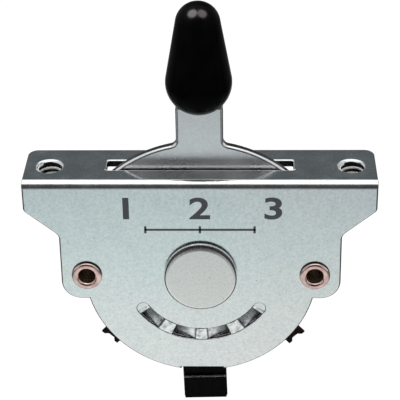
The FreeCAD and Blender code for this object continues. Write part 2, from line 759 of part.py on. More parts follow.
def make_wafer():
    """Fixed board with two ears, a round window for the rotor and the rivet holes."""
    y0, y1 = WAFER_FRONT_Y, WAFER_BACK_Y
    body = disc(WAFER_R, y0, y1)
    for side in (-1, 1):
        x = side * EYELET_HALF_SPREAD
        web = [(0, WAFER_EAR_R, 0), (x, WAFER_EAR_R, 0), (x, -WAFER_EAR_R, 0), (0, -WAFER_EAR_R, 0)]
        body = body.fuse(prism_y([(u, PIVOT_Z + v, r) for u, v, r in web], y0, y1))
        body = body.fuse(disc(WAFER_EAR_R, y0, y1, x))
    top = -SHEET - WAFER_UNDER_FLANGE
    cuts = [Part.makeBox(2 * FAR, y1 - y0, FAR, Vector(-FAR, y0, top))]
    cuts.append(disc(ROTOR_R + ROTOR_CLEARANCE, y0, y1))
    cuts += [disc(EYELET_HOLE_R, y0, y1, side * EYELET_HALF_SPREAD) for side in (-1, 1)]
    for angle in terminal_angles():
        cuts.append(disc(TERMINAL_RIVET_R, y0, y1, *at_angle(TERMINAL_RIVET_AT_R, angle)))
    return body.cut(cuts).removeSplitter()


# Terminals: a common and three throws on each side

def throw_angles():
    """The three throws of one side, from the lowest up."""
    return [THROW_MIDDLE_ANGLE + step * DETENT_STEP for step in (-1, 0, 1)]


def terminal_angles():
    """Every terminal's angle, left and right."""
    one_side = [COMMON_ANGLE] + throw_angles()
    return [-a for a in one_side] + one_side


def make_terminal(angle, tip_r, finger_r):
    """Solder lug outside the wafer and contact finger over the rotor, from one strip."""
    w, f = TERMINAL_HALF_WIDTH, FINGER_HALF_WIDTH
    horn = w - TERMINAL_HORN_WIDTH
    notch = tip_r - TERMINAL_HORN
    right = [
        (f, finger_r, 0),
        (f, FINGER_NECK_R, 0),
        (w, FINGER_NECK_R + w - f, 0),
        (w, tip_r, 0),
        (horn, tip_r, 0),
        (horn - TERMINAL_HORN, notch, 0),
    ]
    corners = right + [(-u, r, k) for u, r, k in reversed(right)]
    y0, y1 = TERMINAL_FRONT_Y, WAFER_FRONT_Y
    strip = prism_y([(u, below_pivot(r), k) for u, r, k in corners], y0, y1)
    hole = disc(SOLDER_HOLE_R, y0, y1, 0, below_pivot(notch - SOLDER_HOLE_FROM_TIP))
    rivet = disc(TERMINAL_RIVET_R, y0, y1, 0, below_pivot(TERMINAL_RIVET_AT_R))
    return swung(strip.cut([hole, rivet]), angle)


def make_rear_finger(angle, finger_r):
    """The finger behind the rotor, under the same rivet as its terminal."""
    w, f = TERMINAL_HALF_WIDTH, FINGER_HALF_WIDTH
    right = [
        (f, finger_r, 0),
        (f, FINGER_NECK_R, 0),
        (w, FINGER_NECK_R + w - f, 0),
        (w, REAR_FINGER_END_R - REAR_FINGER_CORNER, 0),
        (w - REAR_FINGER_CORNER, REAR_FINGER_END_R, 0),
    ]
    corners = right + [(-u, r, k) for u, r, k in reversed(right)]
    y0, y1 = WAFER_BACK_Y, REAR_FINGER_BACK_Y
    strip = prism_y([(u, below_pivot(r), k) for u, r, k in corners], y0, y1)
    rivet = disc(TERMINAL_RIVET_R, y0, y1, 0, below_pivot(TERMINAL_RIVET_AT_R))
    return swung(strip.cut(rivet), angle)


def make_terminal_rivets():
    """One rivet through each terminal, the wafer and the rear finger."""
    rivets = []
    for angle in terminal_angles():
        x, z = at_angle(TERMINAL_RIVET_AT_R, angle)
        rivets.append(
            riveted(
                x,
                z,
                TERMINAL_RIVET_R,
                TERMINAL_RIVET_HEAD_R,
                TERMINAL_RIVET_HEAD_HEIGHT,
                TERMINAL_FRONT_Y,
                REAR_FINGER_BACK_Y,
            )
        )
    return Part.makeCompound(rivets)


# Rotor

def contact_rivet_places(side):
    """Front-view places of the rivets of one side's contacts."""
    r = (CONTACT_INNER_R + CONTACT_RAIL_R) / 2
    return [at_angle(r, side * a) for a in CONTACT_RIVET_ANGLES]


def make_rotor():
    """Insulating disc on the shaft's tang."""
    y0, y1 = ROTOR_FRONT_Y, ROTOR_BACK_Y
    length, thick = TANG_HALF_LENGTH + SHAFT_CLEARANCE, TANG_HALF_THICKNESS + SHAFT_CLEARANCE
    cuts = [Part.makeBox(2 * length, y1 - y0, 2 * thick, Vector(-length, y0, PIVOT_Z - thick))]
    for side in (-1, 1):
        cuts += [disc(CONTACT_RIVET_R, y0, y1, x, z) for x, z in contact_rivet_places(side)]
    return disc(ROTOR_R, y0, y1).cut(cuts)


def make_rotor_contact(side, y0):
    """Rail that the common always touches, with the tab that meets one throw."""
    y1 = y0 + CONTACT_SHEET
    tab_from = THROW_MIDDLE_ANGLE - CONTACT_TAB_HALF_ANGLE
    tab_to = THROW_MIDDLE_ANGLE + CONTACT_TAB_HALF_ANGLE
    rail = ring_sector(CONTACT_INNER_R, CONTACT_RAIL_R, y0, y1, side * CONTACT_START_ANGLE, side * tab_to)
    tab = ring_sector(CONTACT_INNER_R, CONTACT_TAB_R, y0, y1, side * tab_from, side * tab_to)
    holes = [disc(CONTACT_RIVET_R, y0, y1, x, z) for x, z in contact_rivet_places(side)]
    return fused([rail, tab]).cut(holes)


def make_rotor_rivets():
    """Flush rivets that join the front and rear contacts through the rotor."""
    pins = []
    for side in (-1, 1):
        for x, z in contact_rivet_places(side):
            pins.append(disc(CONTACT_RIVET_R, CONTACT_FRONT_Y, CONTACT_BACK_Y, x, z))
    return Part.makeCompound(pins)


# Every piece by name

def all_nodes():
    """Each node's name with its shape."""
    nodes = {
        "frame": make_frame(),
        "lever": make_lever(),
        "knob": make_knob(),
        "pivot_shaft": make_pivot_shaft(),
        "thrust_bush": make_thrust_bush(),
        "retaining_ring": make_retaining_ring(),
        "detent_spring": make_detent_spring(),
        "spring_rivets": make_spring_rivets(),
        "wafer": make_wafer(),
        "terminal_rivets": make_terminal_rivets(),
        "rotor": make_rotor(),
        "rotor_rivets": make_rotor_rivets(),
    }
    throw_names = ("lower", "middle", "upper")
    for word, side in (("left", -1), ("right", 1)):
        nodes[f"eyelet_{word}"] = make_eyelet(side)
        nodes[f"spacer_{word}"] = make_spacer(side)
        nodes[f"common_terminal_{word}"] = make_terminal(side * COMMON_ANGLE, COMMON_TIP_R, COMMON_FINGER_R)
        nodes[f"common_finger_{word}"] = make_rear_finger(side * COMMON_ANGLE, COMMON_FINGER_R)
        for name, angle in zip(throw_names, throw_angles()):
            nodes[f"{name}_terminal_{word}"] = make_terminal(side * angle, THROW_TIP_R, THROW_FINGER_R)
            nodes[f"{name}_finger_{word}"] = make_rear_finger(side * angle, THROW_FINGER_R)
        nodes[f"rotor_contact_front_{word}"] = make_rotor_contact(side, CONTACT_FRONT_Y)
        nodes[f"rotor_contact_rear_{word}"] = make_rotor_contact(side, ROTOR_BACK_Y)
    return nodes


os.makedirs("parts", exist_ok=True)
for node, shape in all_nodes().items():
    shape.exportStep(f"parts/{node}.step")
    print(node, len(shape.Solids), "solid,", round(shape.Volume, 2), "mm3, valid", shape.isValid())
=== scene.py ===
"""Looks of a three-way lever switch: finishes, threads, marks and the studio it stands in."""

import logging
import math
from collections.abc import Callable
from dataclasses import dataclass, field
from enum import Enum

import bmesh
import bpy
from mathutils import Matrix, Vector


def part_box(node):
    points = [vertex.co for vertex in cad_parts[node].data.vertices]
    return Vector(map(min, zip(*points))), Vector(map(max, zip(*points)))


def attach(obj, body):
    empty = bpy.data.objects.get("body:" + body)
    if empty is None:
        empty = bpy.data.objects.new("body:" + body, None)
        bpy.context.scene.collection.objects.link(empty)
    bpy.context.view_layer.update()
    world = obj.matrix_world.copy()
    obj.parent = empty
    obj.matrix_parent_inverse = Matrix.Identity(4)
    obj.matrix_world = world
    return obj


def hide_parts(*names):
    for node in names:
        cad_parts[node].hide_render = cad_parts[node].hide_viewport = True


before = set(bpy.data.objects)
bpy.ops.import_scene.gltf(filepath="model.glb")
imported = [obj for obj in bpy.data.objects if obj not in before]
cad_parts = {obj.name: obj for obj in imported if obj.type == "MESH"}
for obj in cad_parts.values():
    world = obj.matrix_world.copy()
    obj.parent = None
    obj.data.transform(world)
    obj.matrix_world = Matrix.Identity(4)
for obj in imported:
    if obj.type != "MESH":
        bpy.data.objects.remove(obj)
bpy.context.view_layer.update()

MM = 0.001
PIVOT_Z = -14.55
NEAR = 0.01  # millimetres within which a face or an edge counts as on a plane
WALL_SLOPE = 0.05  # the most that a sheared wall's normal leans out of the sheet
NOISE_SPAN = (0.3, 0.7)  # where most values of a noise pattern lie
Colour = tuple[float, float, float]
Stops = list[tuple[float, Colour]]
log = logging.getLogger("lever_switch")


# Node trees

def fill_ramp(node: bpy.types.Node, stops: Stops) -> None:
    """Sets the stops of a colour ramp.

    Args:
        node: The Color Ramp node.
        stops: Places from 0 to 1, each with its colour.
    """
    elements = node.color_ramp.elements
    while len(elements) < len(stops):
        elements.new(0.5)
    for element, (at, colour) in zip(elements, stops):
        element.position = at
        element.color = (*colour, 1)


class ShaderTree:
    """A material's nodes, with short calls for what the finishes share."""

    def __init__(self, name: str) -> None:
        """Makes a material with one surface shader.

        Args:
            name: The material's name.
        """
        self.material = bpy.data.materials.new(name)
        self.material.use_nodes = True
        self.tree = self.material.node_tree
        self.tree.nodes.clear()
        self.surface = self.tree.nodes.new("ShaderNodeBsdfPrincipled")
        output = self.tree.nodes.new("ShaderNodeOutputMaterial")
        self.tree.links.new(self.surface.outputs["BSDF"], output.inputs["Surface"])
        self.place = self.tree.nodes.new("ShaderNodeTexCoord").outputs["Object"]

    def link(self, source: bpy.types.NodeSocket, target: bpy.types.NodeSocket) -> None:
        """Joins two sockets."""
        self.tree.links.new(source, target)

    def put(self, **values: float) -> None:
        """Sets plain numbers on the surface shader, with _ for a space."""
        for name, value in values.items():
            self.surface.inputs[name.replace("_", " ")].default_value = value

    def stretched(self, scale: Colour) -> bpy.types.NodeSocket:
        """Object coordinates scaled by axis.

        Args:
            scale: The factor along X, Y and Z.

        Returns:
            The vector socket.
        """
        node = self.tree.nodes.new("ShaderNodeMapping")
        node.inputs["Scale"].default_value = scale
        self.link(self.place, node.inputs["Vector"])
        return node.outputs["Vector"]

    def noise(
        self, size_mm: float, detail: float = 3.0, stretch: Colour = (1, 1, 1), rough: float = 0.5
    ) -> bpy.types.NodeSocket:
        """Cloudy noise.

        Args:
            size_mm: The size of its patches.
            detail: How many finer layers it has.
            stretch: A factor along X, Y and Z.
            rough: Share of each finer layer.

        Returns:
            The value socket.
        """
        node = self.tree.nodes.new("ShaderNodeTexNoise")
        node.inputs["Scale"].default_value = 1 / (size_mm * MM)
        node.inputs["Detail"].default_value = detail
        node.inputs["Roughness"].default_value = rough
        self.link(self.stretched(stretch), node.inputs["Vector"])
        return node.outputs["Fac"]

    def ranged(
        self, value: bpy.types.NodeSocket, low: float, high: float, to_low: float, to_high: float
    ) -> bpy.types.NodeSocket:
        """Maps a value from one range to another.

        Args:
            value: The socket to map.
            low: Start of its range.
            high: End of its range.
            to_low: What the start becomes.
            to_high: What the end becomes.

        Returns:
            The mapped socket, held within the new range.
        """
        node = self.tree.nodes.new("ShaderNodeMapRange")
        for name, number in (
            ("From Min", low), ("From Max", high), ("To Min", to_low), ("To Max", to_high)
        ):
            node.inputs[name].default_value = number
        self.link(value, node.inputs["Value"])
        return node.outputs["Result"]

    def tinted(self, value: bpy.types.NodeSocket, stops: Stops) -> bpy.types.NodeSocket:
        """Colours a value.

        Args:
            value: The socket to colour.
            stops: Places from 0 to 1, each with its colour.

        Returns:
            The colour socket.
        """
        node = self.tree.nodes.new("ShaderNodeValToRGB")
        fill_ramp(node, stops)
        self.link(value, node.inputs["Fac"])
        return node.outputs["Color"]

    def blended(
        self,
        amount: bpy.types.NodeSocket | float,
        a: bpy.types.NodeSocket,
        b: bpy.types.NodeSocket | Colour,
        mode: str = "MIX",
    ) -> bpy.types.NodeSocket:
        """Mixes two colours.

        Args:
            amount: Share of the second one.
            a: The first colour.
            b: The second colour.
            mode: The Mix node's way of blending.

        Returns:
            The colour socket.
        """
        node = self.tree.nodes.new("ShaderNodeMix")
        node.data_type = "RGBA"
        node.blend_type = mode
        if isinstance(amount, float):
            node.inputs[0].default_value = amount
        else:
            self.link(amount, node.inputs[0])
        self.link(a, node.inputs[6])
        if isinstance(b, tuple):
            node.inputs[7].default_value = (*b, 1)
        else:
            self.link(b, node.inputs[7])
        return node.outputs[2]

    def attribute(self, name: str) -> bpy.types.NodeSocket:
        """Reads a value that the piece's mesh carries.

        Args:
            name: The attribute's name.

        Returns:
            The socket with the value.
        """
        node = self.tree.nodes.new("ShaderNodeAttribute")
        node.attribute_name = name
        return node.outputs["Fac"]

    def coloured(
        self, colour: bpy.types.NodeSocket, wear: bpy.types.NodeSocket | None = None
    ) -> None:
        """Sets the surface's colour.

        Args:
            colour: The colour.
            wear: A second colour that it is multiplied by.
        """
        if wear is not None:
            colour = self.blended(1.0, colour, wear, "MULTIPLY")
        self.link(colour, self.surface.inputs["Base Color"])

    def roughened(self, pattern: bpy.types.NodeSocket, least: float, most: float) -> None:
        """Sets the surface's roughness between two values by a noise pattern."""
        self.link(self.ranged(pattern, *NOISE_SPAN, least, most), self.surface.inputs["Roughness"])

    def bumped(self, height: bpy.types.NodeSocket, depth_mm: float, strength: float) -> None:
        """Roughens the surface's normal.

        Args:
            height: The height pattern, from 0 to 1.
            depth_mm: How deep the pattern is.
            strength: Share of the effect.
        """
        node = self.tree.nodes.new("ShaderNodeBump")
        node.inputs["Strength"].default_value = strength
        node.inputs["Distance"].default_value = depth_mm * MM
        self.link(height, node.inputs["Height"])
        self.link(node.outputs["Normal"], self.surface.inputs["Normal"])


# Finishes

@dataclass(frozen=True)
class PlatedFinish:
    """Zinc or nickel plate: pale metal with fine mottling, faint smudges and specks of dust."""

    name: str
    light: Colour
    dark: Colour
    roughness: tuple[float, float] = (0.24, 0.34)
    grain_mm: float = 0.35
    smudge_mm: float = 3.2
    speck_mm: float = 0.30
    speck_span: tuple[float, float] = (0.29, 0.24)
    dust: Colour = (0.26, 0.26, 0.27)
    bump_mm: float = 0.005

    def make(self) -> bpy.types.Material:
        """Builds the finish.

        Returns:
            Its material.
        """
        t = ShaderTree(self.name)
        grain = t.noise(self.grain_mm, 4, rough=0.65)
        smudges = t.noise(self.smudge_mm, 6, (1, 1, 0.8), 0.6)
        specks = t.noise(self.speck_mm, 2)
        base = t.tinted(grain, [(0.34, self.dark), (0.62, self.light)])
        cloud = t.tinted(smudges, [(0.36, (0.93, 0.94, 0.95)), (0.62, (1, 1, 1))])
        colour = t.blended(1.0, base, cloud, "MULTIPLY")
        dots = t.ranged(specks, *self.speck_span, 0.0, 1.0)
        t.coloured(t.blended(dots, colour, self.dust))
        t.link(t.ranged(dots, 0.0, 1.0, 1.0, 0.0), t.surface.inputs["Metallic"])
        t.roughened(smudges, *self.roughness)
        t.bumped(grain, self.bump_mm, 0.5)
        return t.material


@dataclass(frozen=True)
class MetalFinish:
    """A plain metal with its own grain, such as copper, brass, silver or a sheared edge; its near-black
    and near-white copies paint shade and highlights.
    """

    name: str
    light: Colour
    dark: Colour
    roughness: tuple[float, float] = (0.28, 0.40)
    grain_mm: float = 0.9
    bump_mm: float = 0.003
    metallic: float = 1.0

    def make(self) -> bpy.types.Material:
        """Builds the finish.

        Returns:
            Its material.
        """
        t = ShaderTree(self.name)
        t.put(Metallic=self.metallic)
        grain = t.noise(self.grain_mm, 5)
        fine = t.noise(self.grain_mm * 0.22, 2)
        t.coloured(t.tinted(grain, [(0.32, self.dark), (0.66, self.light)]))
        t.roughened(fine, *self.roughness)
        t.bumped(fine, self.bump_mm, 0.5)
        return t.material


@dataclass(frozen=True)
class BlackFinish:
    """Something nearly black: blackened spring steel, polished moulded plastic, or terminal lugs with
    painted shade.
    """

    name: str
    light: Colour
    dark: Colour
    roughness: tuple[float, float]
    ior: float
    grain_mm: float
    bump_mm: float

    def make(self) -> bpy.types.Material:
        """Builds the finish.

        Returns:
            Its material.
        """
        t = ShaderTree(self.name)
        t.put(IOR=self.ior)
        grain = t.noise(self.grain_mm, 4)
        t.coloured(t.tinted(grain, [(0.35, self.dark), (0.7, self.light)]))
        t.roughened(grain, *self.roughness)
        t.bumped(t.noise(self.grain_mm * 0.2, 2), self.bump_mm, 0.4)
        return t.material


@dataclass(frozen=True)
class PressedFinish:
    """Zinc that the press has scuffed, with painted shade: darker the deeper it lies in a pocket, and
    dark lines painted at two depths.
    """

    name: str = "pressed_zinc"
    shallow: Colour = (0.80, 0.82, 0.82)
    pressed: Colour = (0.74, 0.75, 0.76)
    # Painted shade: the colour deep in a pocket and of the painted dark lines.
    deep: Colour = (0.36, 0.37, 0.38)
    line: Colour = (0.14, 0.14, 0.145)
    depth_mm: float = 0.8

    def make(self) -> bpy.types.Material:
        """Builds the finish.

        Returns:
            Its material.
        """
        t = ShaderTree(self.name)
        t.put(Metallic=1.0)
        scuffs = t.noise(0.8, 4, rough=0.65)
        depth = t.ranged(t.attribute("depth_mm"), 0.0, self.depth_mm, 0.0, 1.0)
        # Painted shade by depth: pale near the skin, a dark line, mid grey, darker deep down, a dark
        # line at the bottom.
        base = t.tinted(
            depth,
            [
                (0.10, self.shallow), (0.15, self.line), (0.20, self.line),
                (0.32, self.pressed), (0.58, self.pressed), (0.85, self.deep), (1.0, self.line),
            ],
        )
        wear = t.tinted(scuffs, [(0.38, (0.55, 0.55, 0.56)), (0.60, (1.35, 1.35, 1.34))])
        t.coloured(base, wear)
        t.roughened(scuffs, 0.2, 0.36)
        t.bumped(scuffs, 0.012, 0.6)
        return t.material


@dataclass(frozen=True)
class ShearedFinish:
    """A sheared wall of the sheet: torn and dull, darkened further as painted shade, with the band that
    the punch burnished, set bright as a painted highlight.
    """

    name: str = "sheared_edge"
    torn_painted_shade: Colour = (0.06, 0.06, 0.063)
    burnished_painted_highlight: Colour = (0.95, 0.95, 0.94)
    sheet_mm: float = 1.0

    def make(self) -> bpy.types.Material:
        """Builds the finish.

        Returns:
            Its material.
        """
        t = ShaderTree(self.name)
        t.put(Metallic=0.5)
        grain = t.noise(0.3, 4)
        depth = t.ranged(t.attribute("depth_mm"), 0.0, self.sheet_mm, 0.0, 1.0)
        # Painted shade and highlight: a dark wall with a bright line at mid depth.
        base = t.tinted(
            depth,
            [(0.40, self.torn_painted_shade), (0.46, self.burnished_painted_highlight), (0.60, self.burnished_painted_highlight), (0.66, self.torn_painted_shade)],
        )
        wear = t.tinted(grain, [(0.35, (0.6, 0.6, 0.6)), (0.65, (1.2, 1.2, 1.2))])
        t.coloured(base, wear)
        t.roughened(grain, 0.35, 0.55)
        t.bumped(grain, 0.01, 0.5)
        return t.material


@dataclass(frozen=True)
class BoardFinish:
    """Brown laminated board, with the layers showing at its edges."""

    name: str
    light: Colour = (0.13, 0.055, 0.022)
    dark: Colour = (0.075, 0.030, 0.013)
    layer_mm: float = 0.2

    def make(self) -> bpy.types.Material:
        """Builds the finish.

        Returns:
            Its material.
        """
        t = ShaderTree(self.name)
        fibres = t.noise(0.7, 5, (1, 0.2, 3))
        layers = t.tree.nodes.new("ShaderNodeTexWave")
        layers.bands_direction = "Y"
        layers.inputs["Scale"].default_value = 1 / (self.layer_mm * MM) / 20
        layers.inputs["Distortion"].default_value = 1.2
        t.link(t.place, layers.inputs["Vector"])
        base = t.tinted(fibres, [(0.35, self.dark), (0.7, self.light)])
        lines = t.tinted(
            layers.outputs["Fac"], [(0.2, self.dark), (0.8, tuple(1.25 * c for c in self.light))]
        )
        t.coloured(t.blended(0.35, base, lines))
        t.roughened(fibres, 0.35, 0.5)
        t.bumped(fibres, 0.006, 0.4)
        return t.material


@dataclass(frozen=True)
class InkFinish:
    """Dark grey ink on the plate."""

    name: str = "plate_ink"

    def make(self) -> bpy.types.Material:
        """Builds the finish.

        Returns:
            Its material.
        """
        t = ShaderTree(self.name)
        t.put(IOR=1.25)
        grain = t.noise(0.25, 3)
        t.coloured(t.tinted(grain, [(0.3, (0.085, 0.09, 0.10)), (0.62, (0.13, 0.135, 0.145))]))
        t.roughened(grain, 0.45, 0.65)
        return t.material


class Finishes:
    """Every finish of the switch, each made once."""

    def __init__(self) -> None:
        """Makes the materials."""
        made = [
            PlatedFinish("zinc_plate", (0.82, 0.85, 0.85), (0.69, 0.72, 0.72), (0.12, 0.27)),
            PlatedFinish("lever_zinc", (0.96, 0.965, 0.965), (0.87, 0.88, 0.885), (0.24, 0.36)),
            PlatedFinish("shaft_nickel", (0.89, 0.88, 0.86), (0.78, 0.775, 0.755), (0.36, 0.46)),
            PressedFinish(),
            ShearedFinish(),
            # Painted shade: a near-black metal for the tapped holes' bores, the slot's walls and the
            # outline of the eyelets' heads.
            MetalFinish("dark_bore", (0.04, 0.038, 0.038), (0.010, 0.010, 0.010), (0.3, 0.5), 0.3),
            # Partly a torn wall's dull colour, mostly painted shade: dark rims, rear edges, side
            # outlines and lines inside roundings.
            MetalFinish("torn_edge", (0.12, 0.118, 0.118), (0.05, 0.05, 0.05), (0.3, 0.5), 0.3),
            # Painted highlight: a near-white finish for the slot's near edge and the thread crests.
            MetalFinish("worn_edge", (0.98, 0.98, 0.98), (0.90, 0.91, 0.91), (0.5, 0.6), metallic=0.05),
            MetalFinish("bare_edge", (0.95, 0.94, 0.92), (0.7, 0.69, 0.68), (0.55, 0.7), 0.5),
            MetalFinish("eyelet_copper", (0.86, 0.62, 0.58), (0.56, 0.38, 0.35), (0.07, 0.16)),
            # Painted shade: darker copper deep inside the eyelets' bores.
            MetalFinish("eyelet_bore_painted_shade", (0.5, 0.38, 0.29), (0.2, 0.15, 0.11), (0.4, 0.6), 0.4),
            # Painted shade: the lugs are set nearly black for the shade that the plate casts on them.
            BlackFinish(
                "lug_painted_shade", (0.030, 0.013, 0.008), (0.002, 0.001, 0.001), (0.35, 0.5),
                1.15, 0.6, 0.006,
            ),
            MetalFinish("terminal_tin", (0.62, 0.58, 0.50), (0.42, 0.37, 0.30)),
            MetalFinish("contact_silver", (0.86, 0.85, 0.82), (0.70, 0.69, 0.66), (0.18, 0.3)),
            MetalFinish("rivet_brass", (0.74, 0.56, 0.30), (0.56, 0.40, 0.20), (0.22, 0.36)),
            BlackFinish(
                "spring_black", (0.005, 0.0045, 0.006), (0.0015, 0.0015, 0.002), (0.3, 0.45),
                1.10, 0.8, 0.004,
            ),
            BlackFinish(
                "knob_black", (0.0002, 0.0002, 0.0002), (0.0001, 0.0001, 0.0001), (0.17, 0.24),
                1.08, 3.0, 0.002,
            ),
            BoardFinish("wafer_board"),
            BoardFinish("rotor_board", (0.17, 0.075, 0.03), (0.10, 0.042, 0.018)),
            InkFinish(),
        ]
        self._by_name = {finish.name: finish.make() for finish in made}

    def __getitem__(self, name: str) -> bpy.types.Material:
        """The material of a finish."""
        return self._by_name[name]


# Meshes

def piece_from(mesh: bpy.types.Mesh, name: str) -> bpy.types.Object:
    """Puts a mesh in the scene as a new object at the origin.

    Args:
        mesh: The finished mesh.
        name: The piece's name.

    Returns:
        The object.
    """
    mesh.name = name
    piece = bpy.data.objects.new(name, mesh)
    bpy.context.scene.collection.objects.link(piece)
    return piece


def mesh_from(work: bmesh.types.BMesh, name: str) -> bpy.types.Mesh:
    """Makes a mesh from a working mesh.

    Args:
        work: The working mesh, which is used up.
        name: The new mesh's name.

    Returns:
        The mesh.
    """
    mesh = bpy.data.meshes.new(name)
    work.to_mesh(mesh)
    work.free()
    return mesh


def block(name: str, place: Matrix) -> bpy.types.Mesh:
    """Makes a plain block.

    Args:
        name: The mesh's name.
        place: Sizes and places a cube of side 1.

    Returns:
        The mesh.
    """
    work = bmesh.new()
    bmesh.ops.create_cube(work, size=1)
    mesh = mesh_from(work, name)
    mesh.transform(place)
    return mesh


def evaluated_mesh(item: bpy.types.Object) -> bpy.types.Mesh:
    """A new mesh of what an object's modifiers or its curve come to."""
    graph = bpy.context.evaluated_depsgraph_get()
    return bpy.data.meshes.new_from_object(item.evaluated_get(graph))


def applied(piece: bpy.types.Object) -> bpy.types.Object:
    """Turns a piece's modifiers into plain mesh.

    Args:
        piece: The object with modifiers on it.

    Returns:
        The same object.
    """
    mesh, old = evaluated_mesh(piece), piece.data
    piece.modifiers.clear()
    piece.data = mesh
    mesh.name = piece.name
    bpy.data.meshes.remove(old)
    return piece


def smooth_by_angle(mesh: bpy.types.Mesh, degrees: float = 32.0) -> None:
    """Smooth shading that stops at sharp edges."""
    mesh.shade_smooth()
    mesh.set_sharp_from_angle(angle=math.radians(degrees))


def flatten_normals(mesh: bpy.types.Mesh, near_cos: float = 0.94) -> None:
    """Makes the shading normals of flat skins exactly flat, so that thin triangles don't show.

    Args:
        mesh: A dressed mesh with its normals set.
        near_cos: Cosine of the largest turn that a rounding's first normals may take.
    """
    normals = [Vector(corner.vector) for corner in mesh.corner_normals]
    flat_at: dict[int, list[Vector]] = {}
    flat = [face for face in mesh.polygons if max(abs(c) for c in face.normal) > 0.99999]
    for face in flat:
        for vertex in face.vertices:
            flat_at.setdefault(vertex, []).append(face.normal.copy())
    for loop in mesh.loops:
        for normal in flat_at.get(loop.vertex_index, []):
            if normals[loop.index].dot(normal) > near_cos:
                normals[loop.index] = normal
                break
    mesh.normals_split_custom_set(normals)


@dataclass(eq=False)
class Fan:
    """The faces round one corner of a solid that lie between two sharp edges."""

    corner: bmesh.types.BMVert
    faces: list[bmesh.types.BMFace]
    shift: Vector = field(default_factory=Vector)
    moved: bmesh.types.BMVert | None = None


